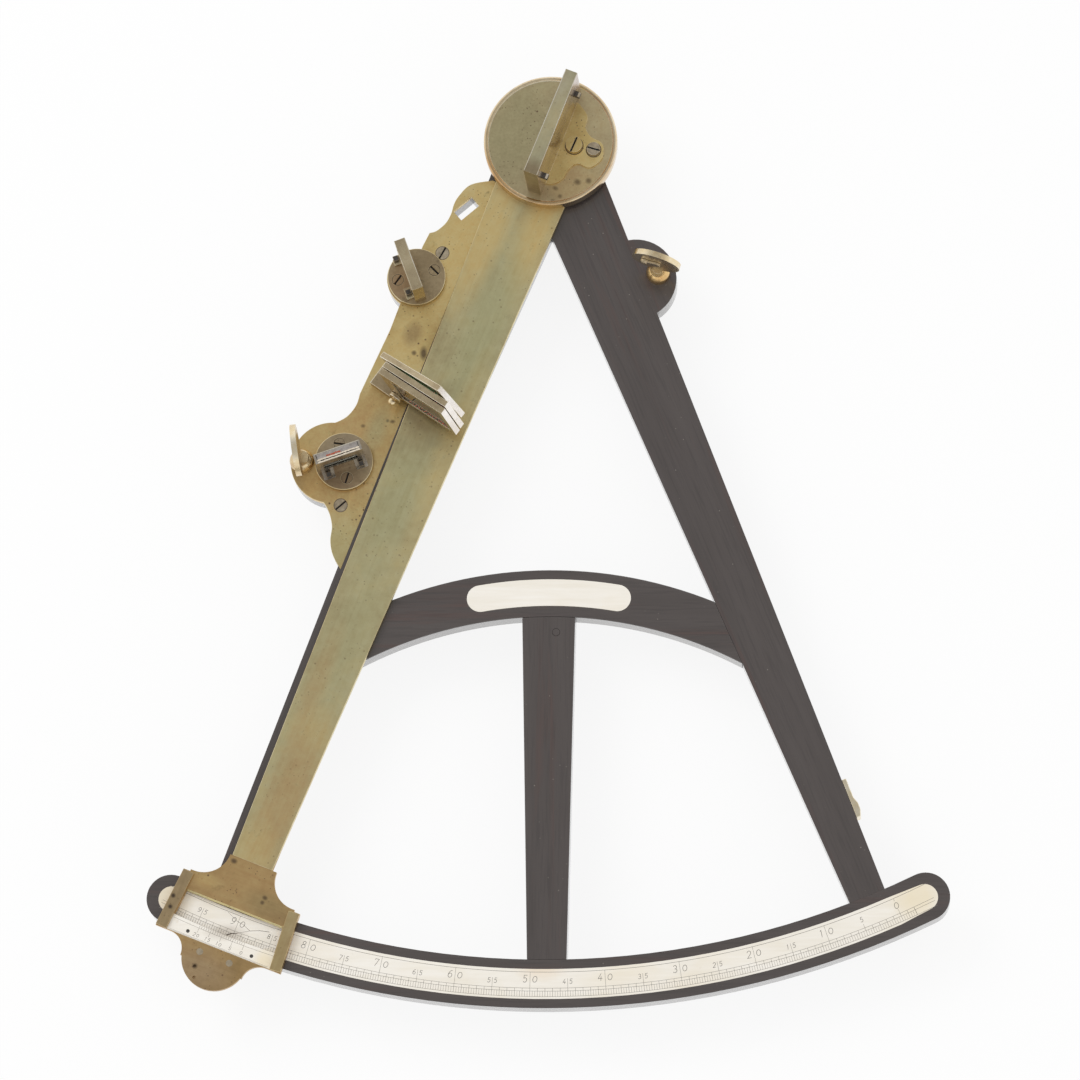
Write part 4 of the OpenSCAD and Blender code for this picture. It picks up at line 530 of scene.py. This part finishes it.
def worn_copy(node, width, coat):
    """A merged copy of a CAD node with its edges rounded, which stands for it."""
    bm = bmesh.new()
    bm.from_mesh(nodes[node].data)
    bmesh.ops.remove_doubles(bm, verts=bm.verts, dist=SAME_POINT)
    bmesh.ops.dissolve_limit(bm, angle_limit=FLAT, verts=bm.verts, edges=bm.edges)
    own = OWN_FACES.get(node, ())
    for face in bm.faces:
        c = face.calc_center_median() / MM - Vector((0, PIVOT_Y, 0))
        face.material_index = next((i + 1 for i, (finish, test) in enumerate(own) if test(c, face.normal)), 0)
    piece = finished(node + "_worn", body_of_node[node], bm, coat, [node])
    for finish, test in own:
        piece.data.materials.append(finish)
    piece.data.materials.append(EDGE_GLINT_AND_WEAR.get(node, coat))
    piece.data.shade_smooth()
    for face in piece.data.polygons:
        face.use_smooth = abs(face.normal.z) < 0.9999  # a level top stays flat
    piece.data.set_sharp_from_angle(angle=EDGE)
    bevel = piece.modifiers.new("worn edges", "BEVEL")
    # The rounded edges take the edge finish, which for some pieces is a painted highlight over rubbed wear
    bevel.material = len(own) + 1
    bevel.width = width * MM
    bevel.segments = 2
    bevel.limit_method = "ANGLE"
    bevel.angle_limit = EDGE
    bevel.harden_normals = True
    bevel.use_clamp_overlap = True


for node, coat in COATS.items():
    nodes[node].data.materials.clear()
    nodes[node].data.materials.append(coat)
    if node in EDGES:
        worn_copy(node, EDGES[node], coat)


# Engraving

MARK_DEEP = 0.04
MARK_PROUD = 0.012


def cut_line(bm, x, y, turn, wide, long, z, about=0.0):
    """One straight engraved line, filled with ink, lengthwise along its own Y."""
    middle = (MARK_PROUD - MARK_DEEP) / 2
    place = Matrix.Translation(spot(x, y, z + middle, about)) @ Matrix.Rotation(math.radians(turn + about), 4, "Z")
    size = Matrix.Diagonal((wide * MM, long * MM, (MARK_DEEP + MARK_PROUD) * MM, 1))
    bmesh.ops.create_cube(bm, size=1.0, matrix=place @ size)


def cut_between(bm, start, end, wide, over, z, about=0.0):
    """A straight line from point to point, a little over its length."""
    (x0, y0), (x1, y1) = start, end
    turn = math.degrees(math.atan2(y1 - y0, x1 - x0)) - 90
    cut_line(bm, (x0 + x1) / 2, (y0 + y1) / 2, turn, wide, math.hypot(x1 - x0, y1 - y0) + over, z, about)


def radial_line(bm, angle, r0, r1, wide, z, about=0.0):
    """A line that points at the pivot; the angle is measured from straight down towards +X."""
    a = math.radians(angle)
    r = (r0 + r1) / 2
    cut_line(bm, r * math.sin(a), -r * math.cos(a), angle, wide, r1 - r0, z, about)


def arc_line(bm, r, a0, a1, wide, z, about=0.0, at=(0.0, 0.0)):
    """A line round the pivot or another centre, made by spinning its cross-section."""
    start = math.radians(a0 + about)
    low, high = (z - MARK_DEEP) * MM, (z + MARK_PROUD) * MM
    centre = spot(*at, 0, about)
    corners = []
    for rr, zz in ((r - wide / 2, low), (r + wide / 2, low), (r + wide / 2, high), (r - wide / 2, high)):
        corners.append(bm.verts.new((centre.x + rr * MM * math.sin(start), centre.y - rr * MM * math.cos(start), zz)))
    section = bm.faces.new(corners)
    steps_in_a_degree = 3 if r > 50 else 0.1
    bmesh.ops.spin(
        bm, geom=[section] + list(section.edges) + list(section.verts), cent=centre, axis=(0, 0, 1),
        angle=math.radians(a1 - a0), steps=max(4, int(abs(a1 - a0) * steps_in_a_degree)), use_duplicate=False,
    )


def ring(bm, x, y, r, wide, z, about):
    """A full circle of two half turns."""
    for start in (0, 180):
        arc_line(bm, r, start, start + 180, wide, z, about, (x, y))


def bow(x, y, half_x, half_y, a0, a1):
    """Points along part of an oval stroke."""
    steps = max(4, round(abs(a1 - a0) / 24))
    angles = [math.radians(a0 + (a1 - a0) * i / steps) for i in range(steps + 1)]
    return [(x + half_x * math.cos(a), y + half_y * math.sin(a)) for a in angles]


# Strokes of the engraved figures, in shares of their height round their middle
STROKES = {
    "0": (bow(0, -0.06, 0.30, 0.42, 90, 450),),
    "1": ([(-0.10, 0.36), (0.02, 0.5), (0.02, -0.5)],),
    "2": (bow(0, 0.22, 0.27, 0.28, 165, -35) + [(-0.27, -0.5), (0.29, -0.5)],),
    "3": (bow(-0.02, 0.25, 0.24, 0.25, 150, -90) + bow(-0.02, -0.23, 0.28, 0.27, 90, -150),),
    "4": ([(0.10, 0.5), (-0.29, -0.18), (0.29, -0.18)], [(0.11, 0.12), (0.11, -0.5)]),
    "5": ([(0.25, 0.5), (-0.17, 0.5), (-0.20, 0.08)] + bow(-0.02, -0.18, 0.27, 0.32, 130, -145),),
    "6": (bow(0.16, -0.2, 0.42, 0.7, 85, 180) + bow(0, -0.2, 0.26, 0.3, 180, -180),),
    "7": ([(-0.26, 0.36), (-0.24, 0.5), (0.28, 0.5), (-0.08, -0.5)],),
    "8": (bow(0, 0.26, 0.20, 0.24, -90, 270) + bow(0, -0.24, 0.26, 0.26, 90, -270),),
    "9": (bow(0, 0.2, 0.26, 0.3, 0, 360) + bow(-0.16, 0.2, 0.42, 0.7, 0, -95),),
}
SLANT = 0.12
SHORTEST_STROKE = 0.01


def figure(bm, digit, height, x, y, z, turn, about, wide):
    """One engraved figure, drawn with single strokes."""
    for stroke in STROKES[digit]:
        points = [turned(height * (u + SLANT * v), height * v, turn) for u, v in stroke]
        points = [(x + u, y + v) for u, v in points]
        for start, end in zip(points, points[1:]):
            if math.dist(start, end) > SHORTEST_STROKE:
                cut_between(bm, start, end, wide, 0.4 * wide, z, about)


def number_at(bm, text, r, angle, row, size, z, about=0.0):
    """A number on a radius, of one figure or of two on either side of it, in a row with a turn of its own."""
    height, apart, wide = size
    a, b = math.radians(angle), math.radians(row)
    sides = (0,) if len(text) == 1 else (-apart, apart)
    for side, digit in zip(sides, text):
        x = r * math.sin(a) + side * math.cos(b)
        y = -r * math.cos(a) + side * math.sin(b)
        figure(bm, digit, height, x, y, z, angle, about, wide)


# The bone scale: what it reads at its ends, the radii of its four long lines, and where those end
SCALE_FROM, SCALE_TO = -2.0, 99.0
TOP_LINE, DEGREE_LINE, THIRD_LINE, FOOT_LINE = 373.9, 381.0, 382.3, 384.7
LINES_END = 26.35

# Between the top line and the degree line: where marks shorter than the tens' start, and the numbers' middles
FIVE_TOP, FIRST_FIVE_TOP, ZERO_TOP, ZERO_TIP = 376.8, 379.2, 378.9, 375.0
TENS_ROW, FIVES_ROW, SINGLES_ROW = 376.9, 378.1, 377.1

# The vernier: its zero's angle in the arm's frame, the span of its twenty minutes, and the radii its marks reach
VERNIER_ZERO = math.degrees(math.asin(10.6 / 385))
VERNIER_SPAN = 3.155
MINUTE_LINE, FIVE_LINE, MINUTE_ROW = 386.0, 388.0, 389.2

# Figures' height, their distance from the radius and their strokes' width
TENS, FIVES, MINUTES = (3.1, 2.15, 0.2), (2.1, 1.45, 0.18), (1.6, 0.8, 0.15)


def reading_angle(degrees):
    """Where a reading stands; its degrees are half as wide as an angle's, and 45 is right of the middle."""
    return 1.4 + (45 - degrees) / 2


def engrave_scale():
    """The long lines, a mark at each third of a degree, and a number at each fifth degree."""
    lines, numbers = bmesh.new(), bmesh.new()
    for r, wide in ((TOP_LINE, 0.17), (DEGREE_LINE, 0.14), (THIRD_LINE, 0.14), (FOOT_LINE, 0.14)):
        arc_line(lines, r, -LINES_END, LINES_END, wide, FACE)
    for degree in (SCALE_FROM, SCALE_TO):
        radial_line(lines, reading_angle(degree), DEGREE_LINE, FOOT_LINE, 0.16, FACE)
    for third in range(int(3 * SCALE_FROM), int(3 * SCALE_TO) + 1):
        start, wide = (DEGREE_LINE, 0.14) if third % 3 == 0 else (THIRD_LINE, 0.11)
        radial_line(lines, reading_angle(third / 3), start, FOOT_LINE, wide, FACE)
    for degree in range(0, 100, 5):
        angle = reading_angle(degree)
        ten = degree % 10 == 0
        if degree == 0:
            radial_line(lines, angle, TOP_LINE, ZERO_TIP, 0.13, FACE)
        top = {0: ZERO_TOP, 5: FIRST_FIVE_TOP}.get(degree, TOP_LINE if ten else FIVE_TOP)
        radial_line(lines, angle, top, DEGREE_LINE, 0.13, FACE)
        r = SINGLES_ROW if degree < 10 else TENS_ROW if ten else FIVES_ROW
        number_at(numbers, str(degree), r, angle, angle, TENS if ten else FIVES, FACE)
    finished("scale_lines", "frame", lines, FINE_INK)
    finished("scale_numbers", "frame", numbers, INK)


def engrave_vernier():
    """Twenty minutes from the right to the left, numbered at each fifth, over a double line."""
    lines, numbers = bmesh.new(), bmesh.new()
    arc_line(lines, MINUTE_LINE, -3.4, 3.7, 0.12, VERNIER_TOP, ARM_TURN)
    for minute in range(21):
        angle = VERNIER_ZERO - VERNIER_SPAN * minute / 20
        five = minute % 5 == 0
        radial_line(lines, angle, FOOT_LINE, FIVE_LINE if five else MINUTE_LINE, 0.12, VERNIER_TOP, ARM_TURN)
        if five:
            number_at(numbers, str(minute), MINUTE_ROW, angle, 0, MINUTES, VERNIER_TOP, ARM_TURN)
    middle, long = 0.65, 46.5
    for y in (-390.6, -391.0):
        cut_line(lines, middle, y, 90, 0.1, long, VERNIER_TOP, ARM_TURN)
    finished("vernier_lines", "index", lines, FINE_INK)
    finished("vernier_numbers", "index", numbers, INK)


# A screw's slot: its length and its floor's height. Then the painted shade round its head: radius, width and height.
BIG_HEAD = (7.2, 44.66, 4.0, 0.4, BRACKET_TOP)
SMALL_HEAD = (5.8, 43.86, 3.3, 0.4, BRACKET_TOP)
BASE_HEAD = (4.8, 34.51, 2.55, 0.22, BASE_TOP)
PLATE_HEAD = (5.8, 31.41, 3.0, 0.25, FACE)
SLOT_WIDE = 0.76

# Each screw's place, its slot's turn and its head
MIRROR_SCREWS = ((11.0, 1.4, 88, BIG_HEAD), (19.8, 2.8, 5, SMALL_HEAD))
FORE_SCREWS = ((-8.3, 1.6, 34.65, BASE_HEAD), (8.5, 0.0, -65.35, BASE_HEAD))
BACK_SCREWS = ((8.25, -0.6, 63.2, BASE_HEAD), (-7.65, 1.1, -35.8, BASE_HEAD))
PLATE_SCREWS = ((FORE[0] + 6, FORE[1] + 15, 83, PLATE_HEAD), (BACK[0] + 6, BACK[1] - 18.5, 63, PLATE_HEAD))


def fill_slots():
    """Painted shade: near black on the floors of the screw slots, and a brown ring round the heads."""
    slots = {body: bmesh.new() for body in ("index", "fore_horizon", "back_horizon", "frame")}
    rings = {body: bmesh.new() for body in slots}
    for body, base, turn, about, screws in (
        ("index", (0, 0), 0, ARM_TURN, MIRROR_SCREWS), ("fore_horizon", FORE, FORE_TURN, LEFT, FORE_SCREWS),
        ("back_horizon", BACK, BACK_TURN, LEFT, BACK_SCREWS), ("frame", (0, 0), 0, LEFT, PLATE_SCREWS),
    ):
        for x, y, slot, (long, floor_z, r, wide, top) in screws:
            x, y = on_base(base, turn, x, y)
            cut_line(slots[body], x, y, slot + turn - 90, SLOT_WIDE, long, floor_z, about)
            ring(rings[body], x, y, r, wide, top, about)
    for body in slots:
        finished(body + "_slot_painted_shade", body, slots[body], PAINTED_SHADE_BLACK)
        finished(body + "_ring_painted_shade", body, rings[body], PAINTED_RING_SHADE)


# Cracks in the scale beside its 90, from point to point in mm from the pivot, with their widths at both ends
CRACKS = (
    (((-140.2, -347.0), (-136.1, -351.1), (-133.4, -352.6), (-130.5, -355.4), (-126.2, -355.3), (-121.9, -355.9)),
     0.10, 0.22),
    (((-130.5, -355.4), (-136.0, -356.4), (-138.6, -356.5), (-140.8, -357.2)), 0.14, 0.55),
)


def crack_scale():
    """Cracks that widen along their run."""
    bm = bmesh.new()
    for run, first, last in CRACKS:
        for i, (start, end) in enumerate(zip(run, run[1:])):
            wide = first + (last - first) * i / (len(run) - 2)
            cut_between(bm, start, end, wide, 0.1, FACE)
    finished("scale_cracks", "frame", bm, CRACK)


BAR_UNEVEN, BAR_DEEP = 0.05, 0.2


def ragged_bar(bm, x0, x1, y0, y1, proud, seed, rough):
    """A flat run of cement or wax on the back holder's top, with uneven edges."""
    grid = bmesh.ops.create_grid(bm, x_segments=2, y_segments=24, size=0.5)["verts"]
    dice = random.Random(seed)
    for v in grid:
        x = x0 + (x1 - x0) * (v.co.x + 0.5) + dice.uniform(-rough, rough)
        y = y0 + (y1 - y0) * (v.co.y + 0.5)
        v.co = spot(*on_base(BACK, BACK_TURN, x, y), HOLDER_TOP + proud + dice.uniform(0, BAR_UNEVEN), LEFT)
    members = set(grid)
    rim = [e for e in bm.edges if e.is_boundary and e.verts[0] in members]
    walls = bmesh.ops.extrude_edge_only(bm, edges=rim)["geom"]
    feet = [g for g in walls if isinstance(g, bmesh.types.BMVert)]
    bmesh.ops.translate(bm, verts=feet, vec=(0, 0, -BAR_DEEP * MM))


def seal_back_glass():
    """On the back holder's top: grey sealing over the glass, pale cement, near black painted shade in the slit, and a
    dab of red wax.
    """
    grey, cement, wax, dark = (bmesh.new() for i in range(4))
    ragged_bar(grey, -0.95, 1.25, -8.3, 10.6, 0.02, 2, 0.03)
    ragged_bar(cement, -2.55, -2.02, -8.6, 10.8, 0.03, 3, 0.10)
    ragged_bar(cement, -1.58, -0.95, -8.6, 10.8, 0.03, 5, 0.10)
    ragged_bar(dark, -2.08, -1.52, -6.8, 8.4, 0.02, 8, 0.12)
    ragged_bar(wax, -0.75, -0.1, -0.2, 6.4, 0.08, 11, 0.18)
    finished("glass_seal", "back_horizon", grey, SEAL)
    finished("slit_cement", "back_horizon", cement, CEMENT)
    # near black in the slit: painted shade
    finished("slit_painted_shade", "back_horizon", dark, PAINTED_SHADE_BLACK)
    finished("red_wax_dab", "back_horizon", wax, WAX)


def bevel_window():
    """The sloped upper edge of the end plate's window."""
    bm = bmesh.new()
    low, high, front_z = Vector((-22.1, -372.45, 33.9)), Vector((23.3, -371.65, 35.06)), 34.2
    for v in bmesh.ops.create_cube(bm, size=1.0)["verts"]:
        p = Vector(high[i] if v.co[i] > 0 else low[i] for i in range(3))
        if v.co.z > 0 > v.co.y:
            p.z = front_z
        v.co = spot(*p, ARM_TURN)
    finished("window_bevel", "index", bm, ARM)


def shine_edges():
    """Painted highlights along the tops of the mirror's tray and the two holders, over their rubbed edges, and on its
    adjusters.
    """
    tray = bmesh.new()
    middle, long = 0.1, 49.6
    for x, turn, wide in ((-0.58, 0, 0.3), (5.03, 1.03, 0.24)):
        cut_line(tray, x, middle, turn, wide, long, TRAY_TOP, ARM_TURN)
    for x, y in ((6.75, 20.0), (7.45, -20.0)):
        cut_line(tray, x, y, 0, 1.0, 2.3, ADJUSTER_TOP, ARM_TURN)
    finished("tray_painted_highlights", "index", tray, GLINT_AND_WEAR)
    fore, back = bmesh.new(), bmesh.new()
    for bm, base, turn, middle, long, lines in (
        (fore, FORE, FORE_TURN, 0.9, 23.4, ((0.5, 0.34), (-4.18, 0.16))),
        (back, BACK, BACK_TURN, 1.15, 20.8, ((1.66, 0.3), (-2.66, 0.14))),
    ):
        for x, wide in lines:
            cut_line(bm, *on_base(base, turn, x, middle), turn, wide, long, HOLDER_TOP, LEFT)
    finished("fore_painted_highlights", "fore_horizon", fore, GLINT_AND_WEAR)
    finished("back_painted_highlights", "back_horizon", back, GLINT_AND_WEAR)


engrave_scale()
engrave_vernier()
fill_slots()
crack_scale()
seal_back_glass()
bevel_window()
shine_edges()


# Floor, light and camera

WHITE = (1, 1, 1, 1)
TABLE = (0.93, 0.93, 0.93, 1)
TABLE_GLOW_SEEN = 0.86
ROOM_LIGHT, ROOM_SEEN = 0.8, 1.0


def mix_shaders(tree, share, others, own):
    """Two shaders, of which the second takes a share."""
    node = tree.nodes.new("ShaderNodeMixShader")
    for socket, source in zip(node.inputs, (share, others, own)):
        tree.links.new(source, socket)
    return node.outputs[0]


def table_white():
    """The table takes shadows, and shows nearly white to the eye, and white in metal and through glass."""
    material = bpy.data.materials.new("white_table")
    material.use_nodes = True
    tree = material.node_tree
    tree.nodes.clear()
    path = tree.nodes.new("ShaderNodeLightPath")

    def joined(how, a, b):
        node = tree.nodes.new("ShaderNodeMath")
        node.operation = how
        tree.links.new(a, node.inputs[0])
        if isinstance(b, float):
            node.inputs[1].default_value = b
        else:
            tree.links.new(b, node.inputs[1])
        return node.outputs[0]

    seen = joined("MULTIPLY", path.outputs["Is Camera Ray"], TABLE_GLOW_SEEN)
    seen = joined("MAXIMUM", seen, path.outputs["Is Glossy Ray"])
    seen = joined("MAXIMUM", seen, path.outputs["Is Transmission Ray"])
    matte = tree.nodes.new("ShaderNodeBsdfDiffuse")
    matte.inputs["Color"].default_value = TABLE
    glow = tree.nodes.new("ShaderNodeEmission")
    glow.inputs["Strength"].default_value = 1.0
    out = tree.nodes.new("ShaderNodeOutputMaterial")
    tree.links.new(mix_shaders(tree, seen, matte.outputs[0], glow.outputs[0]), out.inputs["Surface"])
    return material


def lay_table():
    """A wide white floor at z = 0."""
    bm = bmesh.new()
    bmesh.ops.create_grid(bm, x_segments=1, y_segments=1, size=6.0)
    mesh = bpy.data.meshes.new("floor")
    bm.to_mesh(mesh)
    bm.free()
    mesh.materials.append(table_white())
    floor = bpy.data.objects.new("floor", mesh)
    bpy.context.scene.collection.objects.link(floor)


def white_room():
    """White all round; polished metal sees a dim ceiling over a bright horizon."""
    world = bpy.data.worlds.new("studio")
    world.use_nodes = True
    bpy.context.scene.world = world
    tree = world.node_tree
    tree.nodes.clear()
    path = tree.nodes.new("ShaderNodeLightPath")

    def background(strength):
        node = tree.nodes.new("ShaderNodeBackground")
        node.inputs["Color"].default_value = WHITE
        node.inputs["Strength"].default_value = strength
        return node

    ceiling = background(1.0)
    direction = tree.nodes.new("ShaderNodeTexCoord").outputs["Generated"]
    height = tree.nodes.new("ShaderNodeSeparateXYZ")
    tree.links.new(direction, height.inputs[0])
    dimming = tree.nodes.new("ShaderNodeMapRange")
    for socket, value in (("From Min", 0.45), ("From Max", 0.92), ("To Min", 1.0), ("To Max", 0.50)):
        dimming.inputs[socket].default_value = value
    tree.links.new(height.outputs["Z"], dimming.inputs["Value"])
    tree.links.new(dimming.outputs["Result"], ceiling.inputs["Strength"])
    light, sight = background(ROOM_LIGHT).outputs[0], background(ROOM_SEEN).outputs[0]
    lit = mix_shaders(tree, path.outputs["Is Glossy Ray"], light, ceiling.outputs[0])
    out = tree.nodes.new("ShaderNodeOutputWorld")
    tree.links.new(mix_shaders(tree, path.outputs["Is Camera Ray"], lit, sight), out.inputs["Surface"])


def softbox(name, place, aim, size, power):
    """A square lamp that metal doesn't mirror."""
    lamp = bpy.data.lights.new(name, "AREA")
    lamp.shape = "SQUARE"
    lamp.size = size
    lamp.energy = power
    holder = bpy.data.objects.new(name, lamp)
    bpy.context.scene.collection.objects.link(holder)
    holder.location = place
    holder.rotation_mode = "QUATERNION"
    holder.rotation_quaternion = (Vector(aim) - Vector(place)).to_track_quat("-Z", "Y")
    holder.visible_glossy = False


FIELD_OF_VIEW = 9.236


def place_camera():
    """The photograph's viewpoint, by its field of view, place and three axes."""
    data = bpy.data.cameras.new("camera")
    data.sensor_width = 36.0
    data.angle = math.radians(FIELD_OF_VIEW)
    data.clip_start, data.clip_end = 0.05, 50.0
    camera = bpy.data.objects.new("camera", data)
    bpy.context.scene.collection.objects.link(camera)
    place = Matrix.Translation((0.1617, -0.62325, 2.9234))
    right = (0.998416, 0.006099, -0.055925)
    up = (0.005799, 0.97765, 0.210141)
    behind = (0.055957, -0.210132, 0.976070)
    camera.matrix_world = place @ Matrix((right, up, behind)).transposed().to_4x4()
    bpy.context.scene.camera = camera


lay_table()
white_room()
softbox("key", (-1.2, 0.9, 1.8), (0, 0, 0), 1.2, 14)
softbox("low_fill", (1.3, -1.5, 0.45), (0, 0, 0.03), 1.3, 6)
place_camera()
bpy.context.scene.view_settings.view_transform = "Standard"
